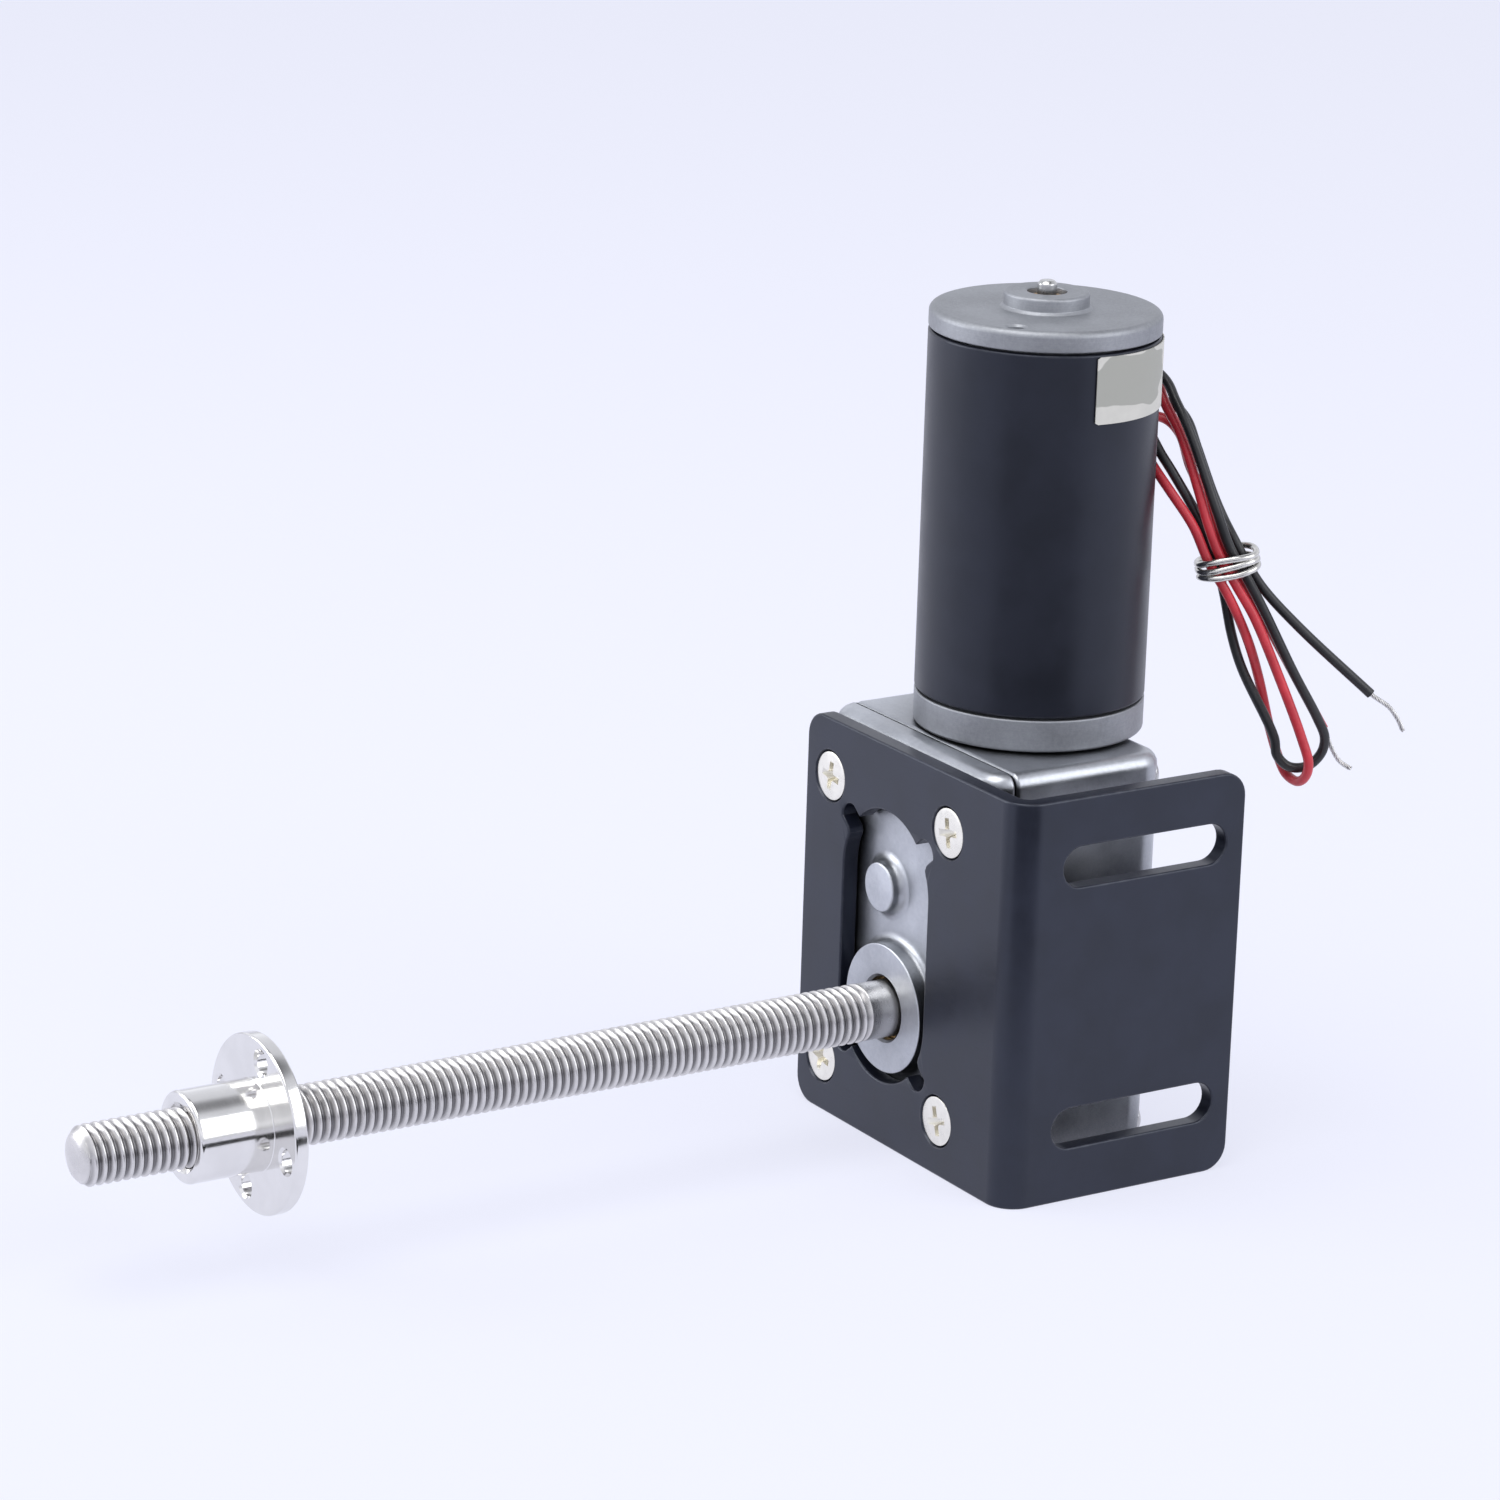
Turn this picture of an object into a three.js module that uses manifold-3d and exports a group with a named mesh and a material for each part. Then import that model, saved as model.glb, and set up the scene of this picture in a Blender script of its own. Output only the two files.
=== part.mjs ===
// A worm-gear motor with an M8 lead screw, a flanged nut and an L-shaped mounting bracket.
// Millimetres. While building, x is measured from the lead-screw axis, y from the front face of
// the bracket (the lead screw points to -Y) and z from the bottom edge of the bracket. At the end
// the whole group is moved so that its origin is the bottom centre of its bounding box.

import * as THREE from 'three';
import { mergeVertices } from 'three/addons/utils/BufferGeometryUtils.js';
import Module from 'manifold-3d';

const wasm = await Module();
wasm.setup();

// ---- placing ----
const GROUP_SHIFT = [-5.25, 41.1, 0];
const SCREW_AXIS = [0, 0, 19];
const MOTOR_AXIS = [0, 22.2, 0];

// ---- bracket ----
const PLATE = { left: -20, right: 30.5, top: 56, thickness: 2.5, corner: 3.5 };
const FLANGE = { inner: 28, rear: 36.4, bendInner: 1.5, bendOuter: 4 };
const OPENING = { radius: 10.2, low: 19, high: 36.6 };
const OPENING_LOBE = { radius: 2, x: 8.9, beyond: 6.8 };
const OPENING_BUMP = { radius: 1.7, x: 10.9, beyond: 4.6 };
const SLOT = { front: 7.44, rear: 33.54, halfWidth: 2.79, heights: [10.2, 46.5] };
const BRACKET_SCREWS = [[-14.2, 7.55], [14.2, 7.55], [-14.2, 47.9], [14.2, 47.9]];

// ---- gearbox casing ----
const CASE = { halfWidth: 20, top: 56.4, front: 2.8, rear: 31.4, corner: 4, edge: 2, wall: 2.2 };
const CAVITY_REAR = 29;
const COVER_REAR = 6.6;
const HOUSING_FRONT = 6.9;
const OUTPUT_BOSS = { radius: 8.95, face: 0.3, bore: 4.4 };
const SMALL_BOSS = { x: -3, z: 35.2, radius: 3.45, face: 1 };
const HOUSING_SCREWS = [[-16.3, 3.7], [16.3, 3.7], [-16.3, 52.7], [16.3, 52.7]];

// ---- gears ----
const PRESSURE_ANGLE = THREE.MathUtils.degToRad(20);
const WORM = { module: 0.5, radius: 3.25, from: 39.2, to: 46.8 };
const WORM_WHEEL = { teeth: 25, module: 0.5, from: 19.2, to: 25.2 };
const FIRST_AXLE = [9.5, 0, 42.4];
const FIRST_PINION = { teeth: 12, module: 0.6, from: 8.6, to: 11.6 };
const SECOND_AXLE = [-3, 0, 35.24];
const SECOND_WHEEL = { teeth: 36, module: 0.6, from: 8.6, to: 11.6 };
const SECOND_PINION = { teeth: 12, module: 0.75, from: 12.1, to: 17.9 };
const OUTPUT_GEAR = { teeth: 32, module: 0.75, from: 13.2, to: 18.6 };

// ---- lead screw and nut ----
const THREAD = { lead: 1.25, crest: 4, root: 3.38, from: -119.9, to: -3.6 };
const SHANK_RADIUS = 3.9;
const SHAFT_REAR = 28.7;
const NUT = { hubRadius: 6, hubFront: -105, flangeFront: -94.8, flangeRear: -92.9, flangeRadius: 11.75 };
const NUT_HOLES = { count: 4, circle: 9.1, radius: 1.5, turn: THREE.MathUtils.degToRad(13) };
const NUT_BORE = 4.2;

// ---- motor ----
const CAN = { radius: 15.5, inner: 14.3, from: 61.4, to: 110.5 };
const FRONT_CAP = { from: 56.7, to: 61.1 };
const REAR_CAP = { from: 110.8, to: 113.6, bossTop: 115.8, bossRadius: 5.7 };
const CORE = { radius: 10.3, from: 70, to: 98, poles: 5 };
const MAGNET = { inner: 11.3, outer: 14, from: 68, to: 104, halfAngle: Math.PI / 3 };
const COMMUTATOR = { radius: 3.5, from: 99.3, to: 104 };
const HOLDER = { radius: 13.6, from: 104.5, to: 107 };
const LEAD_SLOT = { left: -5.6, right: 0.2, from: 102.1, to: 105.5 };
const LABEL = { from: 101.2, to: 110.2, start: -9, end: 72 };

// ---- leads: both go down to the tie, back up behind the motor and down again to free ends ----
const LEAD_HEIGHT = 103.8;
const LEAD_RADIUS = 0.675;
const RED_ROUTE = [
  [-3.9, 38.7, 103.8], [-3.9, 39.4, 103.8], [-3.8, 40.8, 103.5], [-3.1, 41.9, 102.4], [-1.7, 42.3, 101.0],
  [0.9, 41.9, 98.6], [3.8, 42.4, 95.2], [8.1, 42.7, 88.4], [9.9, 43.1, 84.4], [11.0, 44.5, 80.0],
  [12.5, 46.6, 75.7], [14.3, 48.6, 71.4], [16.8, 51.6, 63.0], [19.1, 54.0, 55.2], [19.9, 54.9, 51.6],
  [18.8, 55.4, 49.3], [16.8, 55.6, 48.0], [14.3, 55.5, 48.5], [12.7, 55.1, 50.9], [12.2, 53.8, 55.0],
  [12.3, 51.4, 62.3], [13.0, 48.5, 68.3], [12.2, 45.7, 74.1], [10.4, 43.4, 78.7], [9.1, 41.4, 83.7],
  [6.5, 39.1, 88.3], [4.5, 38.5, 90.3], [1.7, 38.8, 91.9], [-0.5, 39.1, 93.9], [-2.2, 40.1, 95.4],
  [-2.9, 42.4, 96.1], [-2.2, 44.7, 95.4], [-0.5, 45.6, 93.8], [4.6, 43.9, 90.4], [7.4, 45.0, 86.2],
  [9.2, 45.4, 83.0], [10.6, 46.8, 78.7], [11.5, 48.7, 75.3], [12.3, 51.0, 71.5], [16.9, 59.5, 55.0],
];
const BLACK_ROUTE = [
  [-1.5, 38.7, 103.8], [-1.5, 39.4, 103.8], [-1.3, 40.8, 103.4], [-0.6, 41.9, 102.4], [0.6, 42.4, 101.3],
  [2.5, 42.3, 99.5], [4.7, 42.3, 97.4], [6.8, 42.8, 94.0], [10.6, 43.9, 86.3], [11.8, 45.7, 80.9],
  [13.2, 47.9, 76.6], [14.5, 50.2, 71.9], [16.6, 54.0, 63.6], [18.0, 57.5, 57.0], [18.3, 58.7, 54.2],
  [17.8, 58.6, 51.8], [16.9, 57.1, 50.0], [15.8, 54.9, 49.9], [15.1, 53.2, 51.6], [14.9, 52.7, 54.1],
  [11.8, 48.9, 63.6], [10.8, 47.6, 68.3], [10.3, 46.3, 74.1], [9.6, 45.1, 78.7], [8.0, 43.3, 84.0],
  [5.5, 40.3, 90.3], [3.4, 39.4, 93.0], [0.6, 39.3, 96.0], [-1.1, 40.3, 97.7], [-1.8, 42.6, 98.4],
  [-1.1, 44.9, 97.7], [0.6, 45.8, 96.1], [4.2, 45.2, 92.8], [6.5, 46.4, 87.1], [8.1, 47.2, 83.9],
  [10.4, 47.5, 81.4], [11.9, 48.7, 78.3], [13.1, 50.9, 74.7], [16.6, 54.9, 69.5], [22.4, 62.9, 60.9],
];
const STRAND_RADIUS = 0.35;
const RED_STRAND = [[17, 59.7, 54.7], [17.6, 60.6, 52.2], [18.3, 61.6, 50.4], [19.4, 62.7, 49.5]];
const BLACK_STRAND = [[22.7, 63.2, 60.6], [24, 64.9, 59.2], [24.8, 66, 57.4], [25.2, 66.6, 55.9]];
const TIE = { centre: [11.1, 46, 78.5], turns: 2.65, pitch: 1.1, across: 4.05, deep: 2.7, wire: 0.45 };

// ---- colours ----
const SATIN_BLACK = { color: 0x2b2c33, metalness: 0.4, roughness: 0.42 };
const ZINC = { color: 0x9a9ca4, metalness: 0.85, roughness: 0.4 };
const STEEL = { color: 0xb4b4b2, metalness: 0.95, roughness: 0.3 };
const NICKEL = { color: 0xdad8d0, metalness: 0.95, roughness: 0.22 };
const BRONZE = { color: 0xa9793f, metalness: 0.8, roughness: 0.45 };
const COPPER = { color: 0xb4612f, metalness: 0.7, roughness: 0.4 };
const FERRITE = { color: 0x3a3b3d, metalness: 0.1, roughness: 0.8 };
const PLASTIC = { color: 0xe6e0cc, metalness: 0, roughness: 0.55 };
const CARBON = { color: 0x242424, metalness: 0.1, roughness: 0.9 };
const RUBBER = { color: 0x1b1b1c, metalness: 0, roughness: 0.8 };
const RED_SLEEVE = { color: 0xb01f2c, metalness: 0, roughness: 0.45 };
const BLACK_SLEEVE = { color: 0x17181b, metalness: 0, roughness: 0.45 };
const PAPER = { color: 0xd9d8d0, metalness: 0, roughness: 0.6 };

// ======================= solids =======================

/** Turns a closed three.js geometry into a solid whose faces point outwards. */
function solid(geometry) {
  const bare = geometry.clone();
  bare.deleteAttribute('normal');
  bare.deleteAttribute('uv');
  const welded = mergeVertices(bare, 1e-4);
  const points = welded.getAttribute('position').array;
  const index = welded.index.array;
  const corners = [];
  for (let i = 0; i < index.length; i += 3) {
    const [a, b, c] = [index[i], index[i + 1], index[i + 2]];
    if (a !== b && b !== c && c !== a) corners.push([a, b, c]);
  }
  const at = (i) => new THREE.Vector3().fromArray(points, 3 * i);
  let volume = 0;
  for (const [a, b, c] of corners) volume += at(a).dot(at(b).cross(at(c)));
  if (volume < 0) corners.forEach((corner) => corner.reverse());
  return new wasm.Manifold(new wasm.Mesh({
    numProp: 3,
    vertProperties: new Float32Array(points),
    triVerts: new Uint32Array(corners.flat()),
  }));
}

/** Turns a solid back into a three.js geometry. */
function geometryOf(body) {
  const mesh = body.getMesh();
  const geometry = new THREE.BufferGeometry();
  const points = new Float32Array(mesh.vertProperties);
  geometry.setAttribute('position', new THREE.BufferAttribute(points, 3));
  geometry.setIndex(Array.from(mesh.triVerts));
  geometry.computeVertexNormals();
  return geometry;
}

/** An outline drawn in (x, y), pulled up from z = from to z = to. */
function prismZ(shape, from, to, curveSegments = 4) {
  const geometry = new THREE.ExtrudeGeometry(shape, {
    depth: to - from, bevelEnabled: false, curveSegments,
  });
  geometry.translate(0, 0, from);
  return solid(geometry);
}

/** An outline drawn in (x, z), pulled from y = from to y = to. */
function prismY(shape, from, to, curveSegments = 4) {
  const geometry = new THREE.ExtrudeGeometry(shape, {
    depth: to - from, bevelEnabled: false, curveSegments,
  });
  geometry.rotateX(Math.PI / 2);
  geometry.translate(0, to, 0);
  return solid(geometry);
}

/** An outline drawn in (y, z), pulled from x = from to x = to. */
function prismX(shape, from, to, curveSegments = 4) {
  const geometry = new THREE.ExtrudeGeometry(shape, {
    depth: to - from, bevelEnabled: false, curveSegments,
  });
  const turn = new THREE.Matrix4().makeBasis(
    new THREE.Vector3(0, 1, 0), new THREE.Vector3(0, 0, 1), new THREE.Vector3(1, 0, 0));
  geometry.applyMatrix4(turn);
  geometry.translate(from, 0, 0);
  return solid(geometry);
}

/** A turned body. The profile is a list of [radius, position along the axis]. */
function turned(axis, [x, y, z], profile, segments = 24) {
  const points = profile.map(([radius, along]) => new THREE.Vector2(radius, along));
  const geometry = new THREE.LatheGeometry(points, segments);
  if (axis === 'x') geometry.rotateZ(-Math.PI / 2);
  if (axis === 'z') geometry.rotateX(Math.PI / 2);
  geometry.translate(x, y, z);
  return solid(geometry);
}

function rod(axis, at, radius, from, to, segments) {
  return turned(axis, at, [[0, from], [radius, from], [radius, to], [0, to]], segments);
}

function tube(axis, at, inner, outer, from, to, segments) {
  const profile = [[inner, from], [outer, from], [outer, to], [inner, to], [inner, from]];
  return turned(axis, at, profile, segments);
}

/** A box given by its lowest and highest corner. */
function block([x0, y0, z0], [x1, y1, z1]) {
  const geometry = new THREE.BoxGeometry(x1 - x0, y1 - y0, z1 - z0);
  geometry.translate((x0 + x1) / 2, (y0 + y1) / 2, (z0 + z1) / 2);
  return solid(geometry);
}

/** A rectangle whose four corners have their own radii: [low left, low right, high right, high left]. */
function rectangle(x0, y0, x1, y1, [lowLeft, lowRight, highRight, highLeft]) {
  const shape = new THREE.Shape();
  shape.moveTo(x0 + lowLeft, y0);
  shape.lineTo(x1 - lowRight, y0);
  if (lowRight > 0) shape.absarc(x1 - lowRight, y0 + lowRight, lowRight, -Math.PI / 2, 0);
  shape.lineTo(x1, y1 - highRight);
  if (highRight > 0) shape.absarc(x1 - highRight, y1 - highRight, highRight, 0, Math.PI / 2);
  shape.lineTo(x0 + highLeft, y1);
  if (highLeft > 0) shape.absarc(x0 + highLeft, y1 - highLeft, highLeft, Math.PI / 2, Math.PI);
  shape.lineTo(x0, y0 + lowLeft);
  if (lowLeft > 0) shape.absarc(x0 + lowLeft, y0 + lowLeft, lowLeft, Math.PI, 1.5 * Math.PI);
  return shape;
}

const joined = (bodies) => wasm.Manifold.union(bodies);
const cut = (body, cutters) => body.subtract(joined(cutters));

/** The same points as `[across, height]` pairs, as three.js centres for a turned body along Y. */
const alongY = ([x, z]) => [x, 0, z];

// ======================= threads and gears =======================

/**
 * A right-handed V thread along +Y around the origin. Each lead has one crest and one root, and
 * the surface is a sheared grid, closed at both ends by a fan and trimmed by a turned outline.
 */
function thread({ lead, crest, root, from, to }, segments, outline, crestAt = 0) {
  const turns = Math.ceil((to - from) / lead) + 3;
  const start = from - 2 * lead + crestAt;
  const rows = 2 * turns;
  const points = [];
  const corners = [];
  for (let column = 0; column < segments; column += 1) {
    const angle = (2 * Math.PI * column) / segments;
    for (let row = 0; row <= rows; row += 1) {
      const radius = row % 2 === 0 ? crest : root;
      const along = start + lead * (row / 2 + column / segments);
      points.push(radius * Math.sin(angle), along, radius * Math.cos(angle));
    }
  }
  const size = rows + 1;
  const id = (column, row) => (
    column < segments ? column * size + row : row + 2
  );
  for (let column = 0; column < segments; column += 1) {
    const last = column === segments - 1;
    for (let row = 0; row < (last ? rows - 2 : rows); row += 1) {
      const [a, b] = [id(column, row), id(column, row + 1)];
      const [c, d] = [id(column + 1, row), id(column + 1, row + 1)];
      corners.push(a, c, b, b, c, d);
    }
  }
  const lowCentre = points.length / 3;
  points.push(0, start - lead, 0);
  const highCentre = lowCentre + 1;
  points.push(0, start + lead * (turns + 2), 0);
  const lowRim = [];
  const highRim = [];
  for (let column = 0; column < segments; column += 1) {
    lowRim.push(id(column, 0));
    highRim.push(id(column, column === segments - 1 ? rows - 2 : rows));
  }
  lowRim.push(id(0, 2), id(0, 1));
  const lastTop = [id(segments - 1, rows - 2), id(segments - 1, rows - 1), id(segments - 1, rows)];
  highRim.splice(segments - 1, 1, lastTop[2], lastTop[1], lastTop[0]);
  for (let i = 0; i < lowRim.length; i += 1) {
    corners.push(lowRim[(i + 1) % lowRim.length], lowRim[i], lowCentre);
  }
  for (let i = 0; i < highRim.length; i += 1) {
    corners.push(highRim[i], highRim[(i + 1) % highRim.length], highCentre);
  }
  const geometry = new THREE.BufferGeometry();
  geometry.setAttribute('position', new THREE.Float32BufferAttribute(points, 3));
  geometry.setIndex(corners);
  return solid(geometry).intersect(outline);
}

/** Outline of an involute gear around (0, 0). `toward` is the direction of one tooth or gap. */
function gearOutline({ teeth, module }, toward, onGap) {
  const pitch = (module * teeth) / 2;
  const base = pitch * Math.cos(PRESSURE_ANGLE);
  const thinning = 0.42;
  const involute = (angle) => Math.tan(angle) - angle;
  const halfAngle = (radius) => {
    const flank = involute(Math.acos(Math.min(1, base / radius)));
    return (thinning * Math.PI) / teeth + involute(PRESSURE_ANGLE) - flank;
  };
  const radii = [pitch - 1.25 * module, pitch + 0.95 * module];
  const shape = new THREE.Shape();
  for (let tooth = 0; tooth < teeth; tooth += 1) {
    const middle = toward + (2 * Math.PI * (tooth + (onGap ? 0.5 : 0))) / teeth;
    const flank = radii.map((radius) => [radius, halfAngle(radius)]);
    const tooth1 = flank.map(([radius, half]) => [radius, middle - half]);
    const tooth2 = flank.map(([radius, half]) => [radius, middle + half]).reverse();
    for (const [radius, angle] of [...tooth1, ...tooth2]) {
      const point = [radius * Math.cos(angle), radius * Math.sin(angle)];
      if (tooth === 0 && shape.curves.length === 0 && radius === radii[0] && angle < middle) {
        shape.moveTo(...point);
      } else {
        shape.lineTo(...point);
      }
    }
  }
  shape.closePath();
  return shape;
}

/** A gear along Y on the axle at [x, 0, z], with its teeth leaning by `twist` radians per mm. */
function gearY(gear, [x, , z], toward, onGap, twist = 0) {
  const geometry = new THREE.ExtrudeGeometry(gearOutline(gear, toward, onGap), {
    depth: gear.to - gear.from, bevelEnabled: false,
  });
  geometry.rotateX(Math.PI / 2);
  geometry.translate(0, gear.to, 0);
  const middle = (gear.from + gear.to) / 2;
  const position = geometry.getAttribute('position');
  const point = new THREE.Vector3();
  for (let i = 0; i < position.count; i += 1) {
    point.fromBufferAttribute(position, i);
    point.applyAxisAngle(new THREE.Vector3(0, 1, 0), twist * (point.y - middle));
    position.setXYZ(i, point.x, point.y, point.z);
  }
  geometry.translate(x, 0, z);
  return solid(geometry);
}

/** Direction from one axle to another in the (x, z) plane. */
const direction = (from, to) => Math.atan2(to[2] - from[2], to[0] - from[0]);

// ======================= the part =======================

const group = new THREE.Group();
group.name = 'worm_gear_motor_with_lead_screw';

function add(name, body, finish) {
  const material = new THREE.MeshStandardMaterial(finish);
  material.name = `${name}_material`;
  const mesh = new THREE.Mesh(geometryOf(body), material);
  mesh.name = name;
  mesh.position.set(...GROUP_SHIFT);
  group.add(mesh);
}

/** A screw along Y with a cross recess; `profile` runs from the head (low y) to the tip. */
function crossScrew([x, z], profile, headY, depth, span) {
  const body = turned('y', [x, 0, z], profile, 16);
  const arms = [
    block([x - span, headY - 1, z - 0.4], [x + span, headY + depth, z + 0.4]),
    block([x - 0.4, headY - 1, z - span], [x + 0.4, headY + depth, z + span]),
  ];
  return cut(body, arms);
}

// ---- bracket ----
function bracket() {
  const section = new THREE.Shape();
  const { bendInner, bendOuter, inner, rear } = FLANGE;
  section.moveTo(PLATE.left, 0);
  section.lineTo(PLATE.right - bendOuter, 0);
  section.absarc(PLATE.right - bendOuter, bendOuter, bendOuter, -Math.PI / 2, 0);
  section.lineTo(PLATE.right, rear);
  section.lineTo(inner, rear);
  section.lineTo(inner, PLATE.thickness + bendInner);
  section.absarc(inner - bendInner, PLATE.thickness + bendInner, bendInner, 0, -Math.PI / 2, true);
  section.lineTo(PLATE.left, PLATE.thickness);
  const { corner, top } = PLATE;
  const front = rectangle(PLATE.left, 0, PLATE.right + 1, top, [corner, 0, 0, corner]);
  const side = rectangle(-1, 0, rear, top, [0, corner, corner, 0]);
  const body = prismZ(section, 0, top)
    .intersect(prismY(front, -1, rear + 1))
    .intersect(prismX(side, PLATE.left - 1, PLATE.right + 1));

  const { radius, low, high } = OPENING;
  const window = [
    block([-radius, -1, low], [radius, PLATE.thickness + 1, high]),
    rod('y', [0, 0, low], radius, -1, PLATE.thickness + 1, 32),
    rod('y', [0, 0, high], radius, -1, PLATE.thickness + 1, 32),
  ];
  const bumps = [];
  for (const side of [-1, 1]) {
    for (const [level, outward] of [[low, -1], [high, 1]]) {
      const lobe = [side * OPENING_LOBE.x, 0, level + outward * OPENING_LOBE.beyond];
      const bump = [side * OPENING_BUMP.x, 0, level + outward * OPENING_BUMP.beyond];
      window.push(rod('y', lobe, OPENING_LOBE.radius, -1, PLATE.thickness + 1, 16));
      bumps.push(rod('y', bump, OPENING_BUMP.radius, -2, PLATE.thickness + 2, 16));
    }
  }
  const slots = SLOT.heights.map((height) => {
    const { front: start, rear: end, halfWidth } = SLOT;
    const outline = rectangle(start, height - halfWidth, end, height + halfWidth,
      [halfWidth, halfWidth, halfWidth, halfWidth]);
    return prismX(outline, inner - 1, PLATE.right + 1, 3);
  });
  const sinks = BRACKET_SCREWS.map((place) => turned('y', alongY(place),
    [[0, -1], [3.7, -1], [3.7, 0.15], [2.35, 1.5], [2.35, 4], [0, 4]], 20));
  return cut(body, [cut(joined(window), bumps), ...slots, ...sinks]);
}
add('bracket', bracket(), SATIN_BLACK);

BRACKET_SCREWS.forEach((place, i) => {
  const profile = [[0, 0.1], [3.35, 0.1], [3.35, 0.3], [2, 1.65], [2, 5.9], [0, 5.9]];
  add(`bracket_screw_${i + 1}`, crossScrew(place, profile, 0.1, 1.1, 1.9), NICKEL);
});

// ---- gearbox casing ----
function casing() {
  const { halfWidth, top, front, rear, corner, edge } = CASE;
  const outline = rectangle(-halfWidth, front, halfWidth, rear, [corner, corner, corner, corner]);
  const geometry = new THREE.ExtrudeGeometry(outline, {
    depth: top - 2 * edge, curveSegments: 3,
    bevelThickness: edge, bevelSize: edge, bevelOffset: -edge, bevelSegments: 3,
  });
  geometry.translate(0, 0, edge);
  return solid(geometry);
}

const beyond = CASE.halfWidth + 5;
const slice = (from, to) => casing().intersect(block([-beyond, from, -5], [beyond, to, 65]));

function cover() {
  const plate = slice(0, COVER_REAR);
  const { radius, face, bore } = OUTPUT_BOSS;
  const outputBoss = turned('y', SCREW_AXIS, [
    [0, face], [radius - 0.3, face], [radius, face + 0.3], [radius, 2.1], [9.4, 2.55],
    [9.8, 3], [9.8, 4], [0, 4],
  ], 28);
  const small = SMALL_BOSS;
  const smallBoss = turned('y', [small.x, 0, small.z], [
    [0, small.face], [small.radius - 0.2, small.face], [small.radius, small.face + 0.2],
    [small.radius, 2.1], [4, 2.6], [4.5, 3], [4.5, 4], [0, 4],
  ], 16);
  const inside = [
    rod('y', SCREW_AXIS, 7.5, 5, 8.2, 24),
    rod('y', FIRST_AXLE, 3.2, 5, 8.2, 16),
    rod('y', SECOND_AXLE, 3.4, 5, 8.2, 16),
  ];
  const holes = [
    rod('y', SCREW_AXIS, bore, -1, 9, 20),
    rod('y', SCREW_AXIS, 5.8, 1.6, 9, 20),
    rod('y', FIRST_AXLE, 1.75, 3.7, 9, 12),
    rod('y', SECOND_AXLE, 2.25, 2.2, 9, 12),
    ...BRACKET_SCREWS.map((place) => rod('y', alongY(place), 2.3, 0, 9, 12)),
    ...HOUSING_SCREWS.map((place) => rod('y', alongY(place), 1.75, 3.9, 9, 12)),
  ];
  return cut(joined([plate, outputBoss, smallBoss, ...inside]), holes);
}
add('gearbox_cover', cover(), ZINC);

function housing() {
  const { halfWidth, top, wall } = CASE;
  const room = block([wall - halfWidth, 0, wall], [halfWidth - wall, CAVITY_REAR, top - wall]);
  const shell = slice(HOUSING_FRONT, 40).subtract(room);
  const posts = HOUSING_SCREWS.map((place) => (
    rod('y', alongY(place), 2.9, HOUSING_FRONT, 30, 14)));
  const bosses = [
    rod('y', SCREW_AXIS, 7.4, 24.2, 30, 24),
    rod('y', FIRST_AXLE, 3.2, 25.6, 30, 16),
    rod('y', SECOND_AXLE, 3.4, 18.3, 30, 16),
  ];
  const holes = [
    rod('y', SCREW_AXIS, 5.8, 20, 29.4, 20),
    rod('y', FIRST_AXLE, 1.75, 20, 30.2, 12),
    rod('y', SECOND_AXLE, 2.25, 10, 30, 12),
    rod('z', MOTOR_AXIS, 5.3, 50, 60, 24),
    ...HOUSING_SCREWS.map((place) => rod('y', alongY(place), 1.75, 0, 40, 12)),
    ...HOUSING_SCREWS.map((place) => rod('y', alongY(place), 2.9, 29.4, 40, 16)),
    ...[-9.5, 9.5].map((x) => rod('z', [x, MOTOR_AXIS[1], 0], 1.75, 50, 60, 12)),
  ];
  return cut(joined([shell, ...posts, ...bosses]), holes);
}
add('gearbox_housing', housing(), ZINC);

HOUSING_SCREWS.forEach((place, i) => {
  const profile = [
    [0, -31.2], [2, -31.2], [2.5, -30.7], [2.5, -29.7], [1.45, -29.7], [1.45, -4.3], [0, -4.3],
  ];
  const screw = crossScrew([-place[0], place[1]], profile, -31.2, 0.9, 1.4);
  add(`housing_screw_${i + 1}`, screw.rotate([0, 0, 180]), STEEL);
});

// ---- bushes, axles and shaft pieces ----
add('front_bush', tube('y', SCREW_AXIS, 4.15, 5.5, 1.9, 8.2, 16), BRONZE);
add('rear_bush', tube('y', SCREW_AXIS, 4.15, 5.5, 24.2, 29.1, 16), BRONZE);
add('front_spacer', tube('y', SCREW_AXIS, 4.15, 4.7, 8.5, 12.9, 16), STEEL);
add('rear_washer', tube('y', SCREW_AXIS, 4.15, 6.8, 18.9, 19.7, 16), STEEL);
add('retaining_ring', tube('y', SCREW_AXIS, 3.65, 6, 20.4, 21.2, 16)
  .subtract(block([-1.6, 20, 10], [1.6, 22, 19])), STEEL);
add('first_axle_pin', rod('y', FIRST_AXLE, 1.5, 4, 29.9, 12), STEEL);
add('second_axle_pin', rod('y', SECOND_AXLE, 2, 2.5, 29.7, 12), STEEL);

// ---- gear train ----
const wormLean = (WORM.module / 2) / WORM.radius / (WORM_WHEEL.module * WORM_WHEEL.teeth / 2);
add('worm_wheel', gearY(WORM_WHEEL, FIRST_AXLE, Math.PI, false, wormLean)
  .subtract(rod('y', FIRST_AXLE, 3, 15, 30, 16)), BRONZE);

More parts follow.
